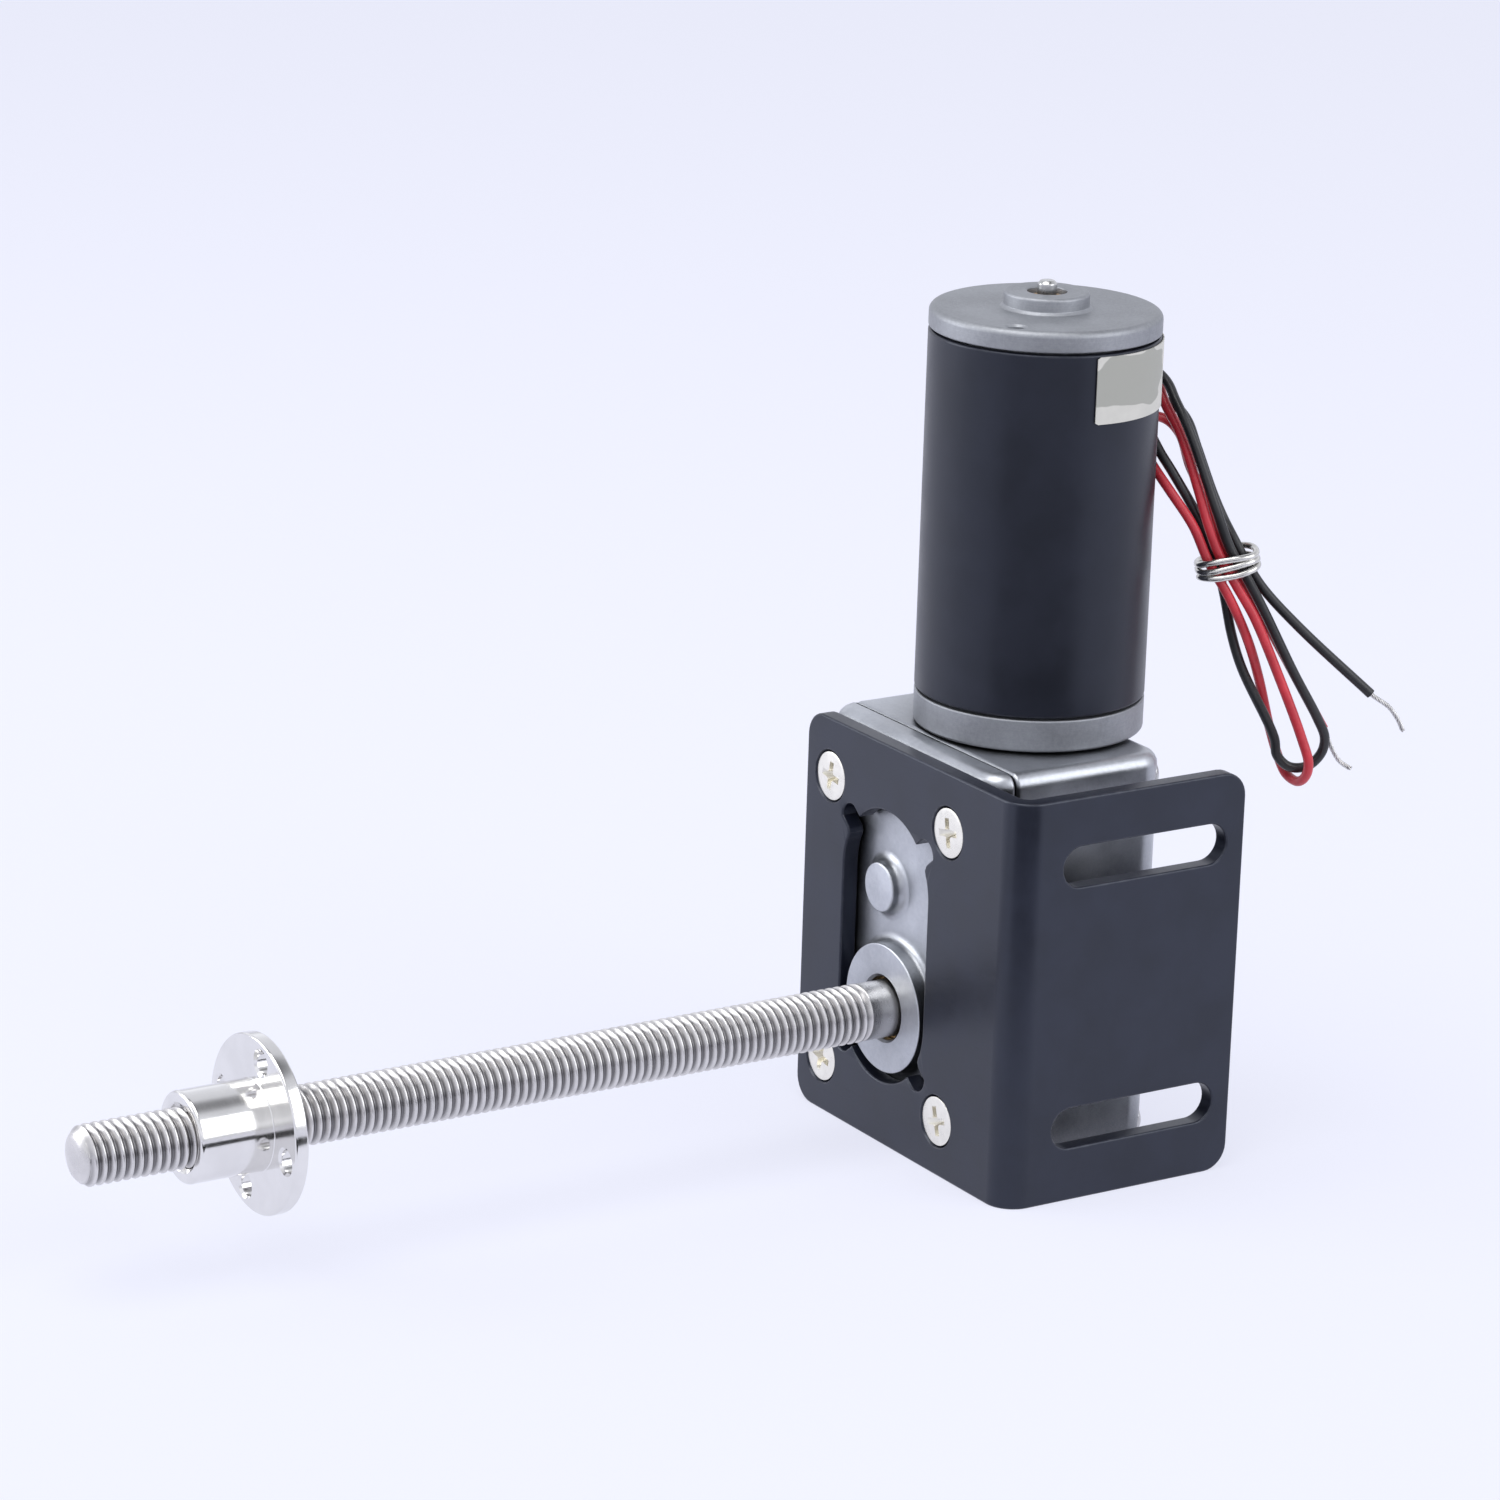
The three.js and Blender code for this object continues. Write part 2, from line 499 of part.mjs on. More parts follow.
const sleeved = (gear, at, toward, sleeveRadius, sleeveFrom, sleeveTo, bore) => (
  gearY(gear, at, toward, false)
    .add(rod('y', at, sleeveRadius, sleeveFrom, sleeveTo, 16))
    .subtract(rod('y', at, bore, 0, 40, 12)));
add('first_pinion', sleeved(FIRST_PINION, FIRST_AXLE, direction(FIRST_AXLE, SECOND_AXLE),
  2.7, 11, 25, 1.75), STEEL);
add('second_wheel', gearY(SECOND_WHEEL, SECOND_AXLE, direction(SECOND_AXLE, FIRST_AXLE), true)
  .subtract(rod('y', SECOND_AXLE, 3.5, 5, 15, 16)), STEEL);
add('second_pinion', sleeved(SECOND_PINION, SECOND_AXLE, direction(SECOND_AXLE, SCREW_AXIS),
  3.2, 8.6, 13, 2.25), STEEL);

const KEY = { halfWidth: 1.5, low: 2.2, high: 5.2, from: 13.6, to: 18.2 };
function keySlot(room) {
  const { halfWidth, low, high, from, to } = KEY;
  return block([-halfWidth - room, from - room, SCREW_AXIS[2] + low - room],
    [halfWidth + room, to + room, SCREW_AXIS[2] + high + room]);
}
add('output_key', keySlot(0), STEEL);
add('output_gear', gearY(OUTPUT_GEAR, SCREW_AXIS, direction(SCREW_AXIS, SECOND_AXLE), true)
  .subtract(rod('y', SCREW_AXIS, 4.15, 5, 25, 24))
  .subtract(block([-1.7, 10, 19], [1.7, 22, 24.5])), STEEL);

// ---- lead screw and nut ----
function leadScrew() {
  const outline = turned('y', [0, 0, 0], [
    [0, THREAD.from], [2.5, THREAD.from + 0.05], [3.15, THREAD.from + 0.45], [4.1, THREAD.from + 1.5],
    [4.1, THREAD.to], [0, THREAD.to],
  ], 20);
  const threaded = thread(THREAD, 8, outline).translate([0, 0, SCREW_AXIS[2]]);
  const shank = turned('y', SCREW_AXIS, [
    [0, THREAD.to - 0.6], [3.3, THREAD.to - 0.6], [SHANK_RADIUS, THREAD.to], [SHANK_RADIUS, 20.2],
    [3.4, 20.2], [3.4, 21.4], [SHANK_RADIUS, 21.4], [SHANK_RADIUS, SHAFT_REAR - 0.5],
    [SHANK_RADIUS - 0.5, SHAFT_REAR], [0, SHAFT_REAR],
  ], 20);
  return threaded.add(shank).subtract(keySlot(0.2));
}
add('lead_screw', leadScrew(), STEEL);

function flangeNut() {
  const { hubRadius, hubFront, flangeFront, flangeRear, flangeRadius } = NUT;
  const body = turned('y', SCREW_AXIS, [
    [NUT_BORE + 0.5, hubFront], [hubRadius - 0.6, hubFront], [hubRadius, hubFront + 0.6],
    [hubRadius, flangeFront], [flangeRadius - 0.3, flangeFront], [flangeRadius, flangeFront + 0.3],
    [flangeRadius, flangeRear - 0.3], [flangeRadius - 0.3, flangeRear],
    [NUT_BORE + 0.5, flangeRear], [NUT_BORE, flangeRear - 0.5], [NUT_BORE, hubFront + 0.5],
    [NUT_BORE + 0.5, hubFront],
  ], 32);
  const holes = [];
  for (let i = 0; i < NUT_HOLES.count; i += 1) {
    const angle = NUT_HOLES.turn + (2 * Math.PI * i) / NUT_HOLES.count;
    const [x, z] = [NUT_HOLES.circle * Math.sin(angle), NUT_HOLES.circle * Math.cos(angle)];
    holes.push(rod('y', [x, 0, SCREW_AXIS[2] + z], NUT_HOLES.radius, -120, -80, 16));
  }
  return cut(body, holes);
}
add('flange_nut', flangeNut(), NICKEL);

// ---- motor: caps, can and magnets ----
add('motor_front_cap', cut(turned('z', MOTOR_AXIS, [
  [0, 54.7], [5, 54.7], [5, FRONT_CAP.from], [CAN.radius - 0.3, FRONT_CAP.from],
  [CAN.radius, FRONT_CAP.from + 0.3], [CAN.radius, FRONT_CAP.to - 0.3],
  [CAN.radius - 0.3, FRONT_CAP.to], [13.9, FRONT_CAP.to], [13.9, 63], [11.5, 63], [11.5, 61],
  [4.8, 61], [4.8, 64.8], [0, 64.8],
], 32), [
  rod('z', MOTOR_AXIS, 2, 50, 70, 12),
  rod('z', MOTOR_AXIS, 3.4, 60.9, 70, 20),
  ...[-9.5, 9.5].map((x) => rod('z', [x, MOTOR_AXIS[1], 0], 1.75, 50, 60.1, 12)),
]), ZINC);
[-9.5, 9.5].forEach((x, i) => {
  const place = [x, MOTOR_AXIS[1], 0];
  const profile = [[0, 52.7], [2.3, 52.7], [2.6, 53], [2.6, 53.9], [1.45, 53.9], [1.45, 59.8], [0, 59.8]];
  add(`motor_mount_screw_${i + 1}`, turned('z', place, profile, 16)
    .subtract(block([x - 3, 21.8, 52], [x + 3, 22.6, 53.2])), STEEL);
});
add('motor_front_bearing', tube('z', MOTOR_AXIS, 1.75, 3.1, 61.2, 64.6, 20), BRONZE);

const leadSlot = block([LEAD_SLOT.left, 30, LEAD_SLOT.from], [LEAD_SLOT.right, 45, LEAD_SLOT.to]);
add('motor_can', tube('z', MOTOR_AXIS, CAN.inner, CAN.radius, CAN.from, CAN.to, 40)
  .subtract(leadSlot), SATIN_BLACK);

/** A piece of a ring around the motor axis between two angles in radians. */
function ringPiece(inner, outer, start, end, from, to, curveSegments) {
  const shape = new THREE.Shape();
  shape.absarc(0, 0, outer, start, end, false);
  shape.absarc(0, 0, inner, end, start, true);
  return prismZ(shape, from, to, curveSegments).translate(MOTOR_AXIS);
}
[0, Math.PI].forEach((middle, i) => {
  const { inner, outer, halfAngle, from, to } = MAGNET;
  add(`magnet_${i + 1}`, ringPiece(inner, outer, middle - halfAngle, middle + halfAngle,
    from, to, 6), FERRITE);
});

add('motor_rear_cap', cut(turned('z', MOTOR_AXIS, [
  [0, 109.3], [13.9, 109.3], [13.9, REAR_CAP.from], [CAN.radius, REAR_CAP.from],
  [CAN.radius, REAR_CAP.to - 1], [CAN.radius - 0.3, REAR_CAP.to - 0.3],
  [CAN.radius - 1, REAR_CAP.to], [REAR_CAP.bossRadius, REAR_CAP.to],
  [REAR_CAP.bossRadius, REAR_CAP.bossTop - 0.4], [REAR_CAP.bossRadius - 0.4, REAR_CAP.bossTop],
  [0, REAR_CAP.bossTop],
], 32), [
  rod('z', MOTOR_AXIS, 1.8, 100, 120, 12),
  rod('z', MOTOR_AXIS, 2.65, 112.2, 120, 20),
  rod('z', [8.2, 11.7, 0], 0.9, 112.8, 120, 12),
]), ZINC);
add('motor_rear_bearing', tube('z', MOTOR_AXIS, 1.55, 2.35, 112.5, 115.1, 16), BRONZE);

// ---- motor: rotor ----
add('motor_shaft', turned('z', MOTOR_AXIS, [
  [0, 39], [1.3, 39], [1.5, 39.2], [1.5, 110], [1.3, 110.2], [1.3, 117], [1, 117.3], [0, 117.3],
], 16), STEEL);

function worm() {
  const { module, radius, from, to } = WORM;
  const outline = turned('y', [0, 0, 0], [
    [0, from], [radius - 0.6, from], [radius + 0.6, from + 0.9], [radius + 0.6, to - 0.9],
    [radius - 0.6, to], [0, to],
  ], 20);
  // crests sit half a lead away from the wheel's middle tooth, which lies on the +X side
  const lead = Math.PI * module;
  const groove = { lead, crest: radius + 0.4, root: radius - 0.75, from, to };
  const middle = FIRST_AXLE[2] - from;
  const crestAt = ((middle - lead / 4 + lead / 2) % lead);
  return thread(groove, 12, outline, crestAt)
    .rotate([90, 0, 0])
    .translate(MOTOR_AXIS)
    .subtract(rod('z', MOTOR_AXIS, 1.7, 30, 60, 12));
}
add('worm', worm(), STEEL);

const spoke = (i) => (360 / CORE.poles) * i + 54;
function core() {
  const bodies = [rod('z', [0, 0, 0], 3.9, CORE.from, CORE.to, 20)];
  for (let i = 0; i < CORE.poles; i += 1) {
    const halfAngle = THREE.MathUtils.degToRad(29);
    const shoe = new THREE.Shape();
    shoe.absarc(0, 0, CORE.radius, -halfAngle, halfAngle, false);
    shoe.absarc(0, 0, 8.3, halfAngle, -halfAngle, true);
    const pole = block([2, -1.6, CORE.from], [9, 1.6, CORE.to]).add(prismZ(shoe, CORE.from, CORE.to, 4));
    bodies.push(pole.rotate([0, 0, spoke(i)]));
  }
  return cut(joined(bodies), [rod('z', [0, 0, 0], 1.7, 60, 110, 12)]).translate(MOTOR_AXIS);
}
add('armature_core', core(), STEEL);

for (let i = 0; i < CORE.poles; i += 1) {
  const coil = block([4.4, -2.6, 68.4], [7.6, 2.6, 99.6])
    .subtract(block([0, -1.9, 69.7], [12, 1.9, 98.3]))
    .rotate([0, 0, spoke(i)])
    .translate(MOTOR_AXIS);
  add(`winding_${i + 1}`, coil, COPPER);
}
add('commutator', tube('z', MOTOR_AXIS, 1.7, COMMUTATOR.radius, COMMUTATOR.from, COMMUTATOR.to, 20),
  COPPER);

// ---- motor: brush gear and lead exit ----
function brushHolder() {
  const disc = tube('z', [0, 0, 0], 4.3, HOLDER.radius, HOLDER.from, HOLDER.to, 32);
  const guides = [-1, 1].map((side) => {
    const [near, far] = side > 0 ? [4.6, 9] : [-9, -4.6];
    return block([near, -2.7, 101.4], [far, 2.7, HOLDER.from + 0.5]);
  });
  const channel = block([-12, -1.8, 100], [12, 1.8, 104.2]);
  return joined([disc, ...guides]).subtract(channel).translate(MOTOR_AXIS);
}
add('brush_holder', brushHolder(), PLASTIC);
[-1, 1].forEach((side, i) => {
  const [near, far] = side > 0 ? [3.8, 8.4] : [-8.4, -3.8];
  add(`brush_${i + 1}`, block([near, -1.5, 100.4], [far, 1.5, 103.9]).translate(MOTOR_AXIS), CARBON);
});

add('lead_grommet', cut(block([-5.3, 36.2, 102.4], [-0.1, 38.4, 105.2]), [-3.9, -1.5].map((x) => (
  rod('y', [x, 0, LEAD_HEIGHT], 0.9, 30, 45, 10)))), RUBBER);

add('motor_label', ringPiece(CAN.radius + 0.3, CAN.radius + 0.5,
  THREE.MathUtils.degToRad(LABEL.start), THREE.MathUtils.degToRad(LABEL.end),
  LABEL.from, LABEL.to, 8), PAPER);

/** A round wire that follows the listed points, with one step for every stretch between them. */
function wire(points, radius, sides) {
  const path = new THREE.CatmullRomCurve3(points.map((point) => new THREE.Vector3(...point)));
  path.getPointAt = (t, target) => path.getPoint(t, target);
  path.getTangentAt = (t, target) => path.getTangent(t, target);
  const section = new THREE.Shape();
  section.absarc(0, 0, radius, 0, 2 * Math.PI, false);
  return solid(new THREE.ExtrudeGeometry(section, {
    extrudePath: path, steps: points.length - 1, curveSegments: sides / 2,
  }));
}
add('red_lead', wire(RED_ROUTE, LEAD_RADIUS, 8), RED_SLEEVE);
add('black_lead', wire(BLACK_ROUTE, LEAD_RADIUS, 8), BLACK_SLEEVE);
add('red_lead_end', wire(RED_STRAND, STRAND_RADIUS, 6), COPPER);
add('black_lead_end', wire(BLACK_STRAND, STRAND_RADIUS, 6), COPPER);

function tie() {
  const { centre, turns, pitch, across, deep, wire: radius } = TIE;
  const along = new THREE.Vector3(0.09, 0.16, -0.983).normalize();
  const outward = new THREE.Vector3(0.8425, -0.5388, 0).normalize();
  const sideways = new THREE.Vector3().crossVectors(outward, along).normalize();
  const stops = 12;
  const points = [];
  for (let i = 0; i <= turns * stops; i += 1) {
    const angle = (2 * Math.PI * i) / stops - Math.PI / 3;
    const squarish = (value) => Math.sign(value) * Math.abs(value) ** 0.8;
    const point = new THREE.Vector3(...centre)
      .addScaledVector(sideways, across * squarish(Math.cos(angle)))
      .addScaledVector(outward, deep * squarish(Math.sin(angle)))
      .addScaledVector(along, pitch * (i / stops - turns / 2));
    points.push(point.toArray());
  }
  return wire(points, radius, 6);
}
add('wire_tie', tie(), STEEL);

export default group;
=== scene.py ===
"""Looks of a worm-gear motor with an M8 lead screw, a flanged nut and an L-shaped bracket.

Sizes are written in millimetres, measured like this: x from the lead-screw axis, y from the front
face of the bracket plate (the screw points to -Y), z from the lower edge of the bracket.
P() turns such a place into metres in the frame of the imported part.
"""

import math

import bmesh
import bpy
from mathutils import Matrix, Vector


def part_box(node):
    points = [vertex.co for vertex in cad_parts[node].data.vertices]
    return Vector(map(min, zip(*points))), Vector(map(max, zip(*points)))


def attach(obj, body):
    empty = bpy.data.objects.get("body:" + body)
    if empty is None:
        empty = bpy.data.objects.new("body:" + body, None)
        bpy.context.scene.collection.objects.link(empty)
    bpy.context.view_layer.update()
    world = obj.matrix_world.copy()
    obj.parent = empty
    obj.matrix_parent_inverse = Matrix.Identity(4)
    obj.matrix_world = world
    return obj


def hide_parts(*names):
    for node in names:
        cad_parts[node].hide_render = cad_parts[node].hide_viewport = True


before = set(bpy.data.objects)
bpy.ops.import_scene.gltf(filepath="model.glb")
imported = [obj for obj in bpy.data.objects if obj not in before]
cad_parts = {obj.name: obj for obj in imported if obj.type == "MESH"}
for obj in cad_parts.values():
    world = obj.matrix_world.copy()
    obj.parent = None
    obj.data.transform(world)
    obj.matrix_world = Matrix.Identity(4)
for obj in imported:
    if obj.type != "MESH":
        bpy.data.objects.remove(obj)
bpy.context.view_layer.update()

MM = 0.001
nut_low, nut_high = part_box("flange_nut")
bracket_low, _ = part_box("bracket")
can_low, can_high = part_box("motor_can")
ORIGIN = Vector(((nut_low.x + nut_high.x) / 2, bracket_low.y, bracket_low.z))
SCREW_HEIGHT = (nut_low.z + nut_high.z) / 2 / MM
SCREW_AXIS = (0, 0, SCREW_HEIGHT)
MOTOR_AXIS = (
    ((can_low.x + can_high.x) / 2 - ORIGIN.x) / MM,
    ((can_low.y + can_high.y) / 2 - ORIGIN.y) / MM,
    0,
)
LEAD = 1.25
CREST, ROOT = 3.98, 3.38
TIP, THREAD_END = -119.9, -3.6


def P(x, y, z):
    """A place in millimetres from the screw axis, the plate's front and its lower edge."""
    return ORIGIN + Vector((x, y, z)) * MM


def in_scene(name, data):
    """Makes an object of a mesh, a curve, a light or a camera and puts it into the scene."""
    made = bpy.data.objects.new(name, data)
    bpy.context.scene.collection.objects.link(made)
    return made


def around(angle, radius=1.0):
    return radius * math.cos(angle), radius * math.sin(angle)


# ======== camera, light and floor ========

AZIMUTH, ELEVATION, ROLL = (math.radians(a) for a in (57.4, 16.93, 1.77))
CAMERA_DISTANCE = 766.3
CAMERA_LENS = 136.44
CAMERA_SHIFT = (-17.52, 34.86)  # how far right and up of the screw's axis the lens axis passes


def make_camera():
    right = Vector((math.cos(AZIMUTH), math.sin(AZIMUTH), 0))
    back = Vector((
        math.sin(AZIMUTH) * math.cos(ELEVATION),
        -math.cos(AZIMUTH) * math.cos(ELEVATION),
        math.sin(ELEVATION),
    ))
    up = back.cross(right)
    rolled_right = right * math.cos(ROLL) + up * math.sin(ROLL)
    rolled_up = up * math.cos(ROLL) - right * math.sin(ROLL)
    place = P(*SCREW_AXIS) + MM * (
        back * CAMERA_DISTANCE + rolled_right * CAMERA_SHIFT[0] + rolled_up * CAMERA_SHIFT[1]
    )
    data = bpy.data.cameras.new("camera")
    data.lens = CAMERA_LENS
    data.sensor_width = 36
    data.clip_start, data.clip_end = 0.01, 20
    camera = in_scene("camera", data)
    turn = Matrix((rolled_right, rolled_up, back)).transposed().to_4x4()
    camera.matrix_world = Matrix.Translation(place) @ turn
    bpy.context.scene.camera = camera


make_camera()


def node(tree, kind, inputs=None, **settings):
    """Adds a shader node. An input is a number, a colour or another node's output."""
    made = tree.nodes.new("ShaderNode" + kind)
    for key, value in settings.items():
        setattr(made, key, value)
    for key, value in (inputs or {}).items():
        if isinstance(value, bpy.types.NodeSocket):
            tree.links.new(value, made.inputs[key])
        else:
            made.inputs[key].default_value = value
    return made


def empty_tree(owner):
    owner.use_nodes = True
    owner.node_tree.nodes.clear()
    return owner.node_tree


# How bright the surroundings are at each height, from 0 straight below to 1 straight above.
SKY_LEVELS = ((0.502, 0.14), (0.513, 0.16), (0.545, 0.62), (0.64, 1.12), (0.74, 0.90),
              (0.925, 0.75), (0.955, 0.20))
SKY_LOWEST, SKY_HIGHEST = (0.48, (0.80, 0.83, 0.90, 1)), (1.0, (0.22, 0.23, 0.26, 1))


def make_world():
    world = bpy.data.worlds.new("studio")
    tree = empty_tree(world)
    direction = node(tree, "TexCoord").outputs["Generated"]
    height = node(tree, "SeparateXYZ", {0: direction}).outputs["Z"]
    share = node(tree, "MapRange", {"Value": height, "From Min": -1.0, "From Max": 1.0})
    ramp = node(tree, "ValToRGB", {0: share.outputs[0]})
    stops = ramp.color_ramp.elements
    stops[0].position, stops[0].color = SKY_LOWEST
    stops[1].position, stops[1].color = SKY_HIGHEST
    for position, level in SKY_LEVELS:
        stops.new(position).color = (level * 0.96, level * 0.98, level * 1.06, 1)
    light = node(tree, "Background", {0: ramp.outputs[0], 1: 1.0})
    node(tree, "OutputWorld", {0: light.outputs[0]})
    bpy.context.scene.world = world


make_world()


AIM = P(5, 0, 45)


def soft_light(name, place, size, power, colour=(1, 1, 1)):
    data = bpy.data.lights.new(name, "AREA")
    data.shape = "RECTANGLE"
    data.size, data.size_y = size
    data.energy = power
    data.color = colour
    light = in_scene(name, data)
    light.location = place
    light.rotation_mode = "QUATERNION"
    light.rotation_quaternion = (AIM - place).to_track_quat("-Z", "Y")


soft_light("light_top", P(40, -220, 700), (0.50, 0.50), 2.6)
soft_light("light_front", P(-480, -560, 300), (0.36, 0.50), 2.0, (0.97, 0.98, 1.0))
soft_light("light_right", P(560, 340, 420), (0.50, 0.56), 1.7, (0.97, 0.98, 1.0))


def make_floor():
    """A pale floor that rises behind the part in one smooth curve, all round."""
    flat, wall, rise = 2.2, 3.2, 0.35
    rings = [(0.0, 0.0), (flat, 0.0)]
    steps = 12
    for i in range(1, steps + 1):
        angle = math.pi / 2 * i / steps
        rings.append((flat + (wall - flat) * math.sin(angle), rise * (1 - math.cos(angle))))
    sides = 64
    points, faces = [Vector((0, 0, 0))], []
    for radius, height in rings[1:]:
        points += [Vector((*around(2 * math.pi * j / sides, radius), height))
                   for j in range(sides)]
    for j in range(sides):
        k = (j + 1) % sides
        faces.append((0, 1 + j, 1 + k))
        for start in range(1, len(points) - sides, sides):
            faces.append((start + j, start + j + sides, start + k + sides, start + k))
    mesh = bpy.data.meshes.new("floor")
    mesh.from_pydata(points, [], faces)
    mesh.shade_smooth()
    material = bpy.data.materials.new("floor")
    tree = empty_tree(material)
    diffuse = node(tree, "BsdfDiffuse", {"Color": (0.80, 0.82, 0.90, 1), "Roughness": 0.5})
    glow = node(tree, "Emission", {"Color": (0.862, 0.872, 0.998, 1), "Strength": 0.99})
    mixed = node(tree, "MixShader", {0: 0.75, 1: diffuse.outputs[0], 2: glow.outputs[0]})
    node(tree, "OutputMaterial", {0: mixed.outputs[0]})
    mesh.materials.append(material)
    in_scene("floor", mesh)


make_floor()


FLAG_CORNERS = ((45, -121, 2), (126, -379, 2), (417, 76, 2), (149, 41, 2))


def make_flag():
    """A dark card on the floor before the part, that only shiny surfaces see."""
    mesh = bpy.data.meshes.new("flag")
    mesh.from_pydata([P(*corner) for corner in FLAG_CORNERS], [], [(0, 1, 2, 3)])
    flag = in_scene("flag", mesh)
    for seen_by in ("camera", "diffuse", "shadow", "transmission", "volume_scatter"):
        setattr(flag, f"visible_{seen_by}", False)
    material = bpy.data.materials.new("flag")
    tree = empty_tree(material)
    dark = node(tree, "Emission", {"Color": (0.9, 0.93, 1.0, 1), "Strength": 0.03})
    node(tree, "OutputMaterial", {0: dark.outputs[0]})
    mesh.materials.append(material)


make_flag()
bpy.context.scene.view_settings.view_transform = "Standard"


# ======== materials ========


def finish(name, base, metallic, roughness, *, rough_spread=0.06, shade=0.12, blotch=7.0,
           grain=0.35, grain_height=0.004, turned=None, groove=0.09, groove_height=0.0,
           scratches=0.0, worn=None, speckle=0.0, specular=0.5, shine=(1, 1, 1),
           gap_shade=0.0):
    """A procedural finish. Lengths are in millimetres.

    `blotch` is the size of slow changes of tone, `grain` that of the fine roughness of the surface.
    `turned` is (axis, place) of a lathe axis, whose fine tool marks are `groove` apart.
    `worn` is the colour that shows along sharp edges, and `gap_shade` paints shade into the colour
    of narrow gaps.
    """
    material = bpy.data.materials.new(name)
    material.use_nodes = True
    tree = material.node_tree
    bsdf = tree.nodes["Principled BSDF"]
    place = node(tree, "TexCoord").outputs["Object"]
    mm = node(tree, "VectorMath", {0: place, "Scale": 1000.0}, operation="SCALE").outputs[0]

    def noise(vector, size, detail=3.0, rough=0.55):
        return node(tree, "TexNoise", {
            "Vector": vector, "Scale": 1.0 / size, "Detail": detail, "Roughness": rough,
        }).outputs[0]

    def remap(value, low, high, to_low, to_high):
        return node(tree, "MapRange", {
            "Value": value, "From Min": low, "From Max": high, "To Min": to_low, "To Max": to_high,
        }).outputs[0]

    def maths(operation, a, b):
        return node(tree, "Math", {0: a, 1: b}, operation=operation).outputs[0]

    def mixed(factor, a, b):
        return node(tree, "Mix", {0: factor, 6: a, 7: b}, data_type="RGBA").outputs[2]

    slow, fine = noise(mm, blotch), noise(mm, grain, 2.0, 0.6)
    dark = tuple(c * (1 - shade) for c in base) + (1,)
    light = tuple(min(1, c * (1 + shade)) for c in base) + (1,)
    colour = mixed(remap(slow, 0.35, 0.65, 0, 1), dark, light)
    if speckle:
        spots = remap(noise(mm, grain * 2.2, 4.0, 0.7), 0.40, 0.62, 0, speckle)
        colour = mixed(spots, colour, tuple(min(1, c * 1.8 + 0.02) for c in base) + (1,))
    rough = remap(maths("ADD", maths("MULTIPLY", slow, 0.55), maths("MULTIPLY", fine, 0.45)),
                  0.35, 0.65, roughness - rough_spread, roughness + rough_spread)
    height = maths("MULTIPLY", fine, grain_height)
    if turned:
        axis, centre = turned
        local = node(tree, "VectorMath", {0: mm, 1: tuple(P(*centre) / MM)},
                     operation="SUBTRACT").outputs[0]
        parts = node(tree, "SeparateXYZ", {0: local})
        across = [parts.outputs[i] for i in range(3) if i != axis]
        radius = maths("SQRT", maths("ADD", maths("MULTIPLY", across[0], across[0]),
                                     maths("MULTIPLY", across[1], across[1])), 0.0)
        rings = node(tree, "CombineXYZ", {0: radius, 1: parts.outputs[axis], 2: 0.0}).outputs[0]
        marks = noise(rings, groove, 2.0, 0.5)
        height = maths("ADD", height, maths("MULTIPLY", marks, groove_height))
        rough = maths("ADD", rough, remap(marks, 0.3, 0.7, -0.04, 0.05))
    if scratches:
        turn = node(tree, "Mapping", {0: mm, "Rotation": (0.4, 0.9, 0.6),
                                      "Scale": (0.08, 1.6, 1.6)}).outputs[0]
        lines = remap(noise(turn, 0.5, 5.0, 0.75), 0.60, 0.68, 0, 1)
        rough = maths("ADD", rough, maths("MULTIPLY", lines, 0.10))
        height = maths("SUBTRACT", height, maths("MULTIPLY", lines, scratches))
    if worn:
        rounded = node(tree, "Bevel", {"Radius": 0.35 * MM}, samples=4).outputs[0]
        straight = node(tree, "NewGeometry").outputs["Normal"]
        facing = node(tree, "VectorMath", {0: rounded, 1: straight},
                      operation="DOT_PRODUCT").outputs["Value"]
        edge = remap(facing, 0.995, 0.90, 0, 1)
        patchy = remap(noise(mm, 1.6, 4.0, 0.65), 0.42, 0.62, 0, 0.8)
        mask = maths("MULTIPLY", edge, patchy)
        colour = mixed(mask, colour, (*worn, 1))
    # painted shade: where ambient occlusion finds narrow gaps, the colour is darkened towards a
    # near-black copy of the base
    if gap_shade:
        openness = node(tree, "AmbientOcclusion", {"Distance": 11 * MM}, samples=4).outputs["AO"]
        colour = mixed(remap(openness, 0.35, 0.95, gap_shade, 0),
                       colour, tuple(c * 0.12 for c in base) + (1,))
    bump = node(tree, "Bump", {"Height": height, "Distance": MM, "Strength": 1.0})
    tree.links.new(colour, bsdf.inputs["Base Color"])
    tree.links.new(rough, bsdf.inputs["Roughness"])
    tree.links.new(bump.outputs[0], bsdf.inputs["Normal"])
    bsdf.inputs["Metallic"].default_value = metallic
    bsdf.inputs["Specular IOR Level"].default_value = specular
    bsdf.inputs["Specular Tint"].default_value = (*shine, 1)
    return material


NUT_TURNING = (1, SCREW_AXIS)
MOTOR_TURNING = (2, MOTOR_AXIS)
PAINT = finish("satin_black_paint", (0.008, 0.0095, 0.018), 0.0, 0.34, rough_spread=0.05, shade=0.2,
               grain=0.22, grain_height=0.0035, scratches=0.002, worn=(0.10, 0.10, 0.11),
               specular=0.58, shine=(0.80, 0.86, 1.0))
CAN_PAINT = finish("can_black_paint", (0.006, 0.0068, 0.012), 0.0, 0.36, rough_spread=0.05,
                   shade=0.2, grain=0.16, grain_height=0.0025, worn=(0.09, 0.09, 0.10),
                   specular=0.50, shine=(0.78, 0.84, 1.0))
# the zinc casting gets painted shade in its narrow gaps
ZINC = finish("zinc_casting", (0.54, 0.56, 0.60), 1.0, 0.36, rough_spread=0.07, shade=0.10,
              grain=0.30, grain_height=0.010, speckle=0.10, scratches=0.002, gap_shade=0.85)
CAP_ZINC = finish("cap_casting", (0.315, 0.325, 0.345), 1.0, 0.53, rough_spread=0.06, shade=0.09,
                  grain=0.24, grain_height=0.010, speckle=0.12, turned=MOTOR_TURNING,
                  groove=0.16, groove_height=0.003)
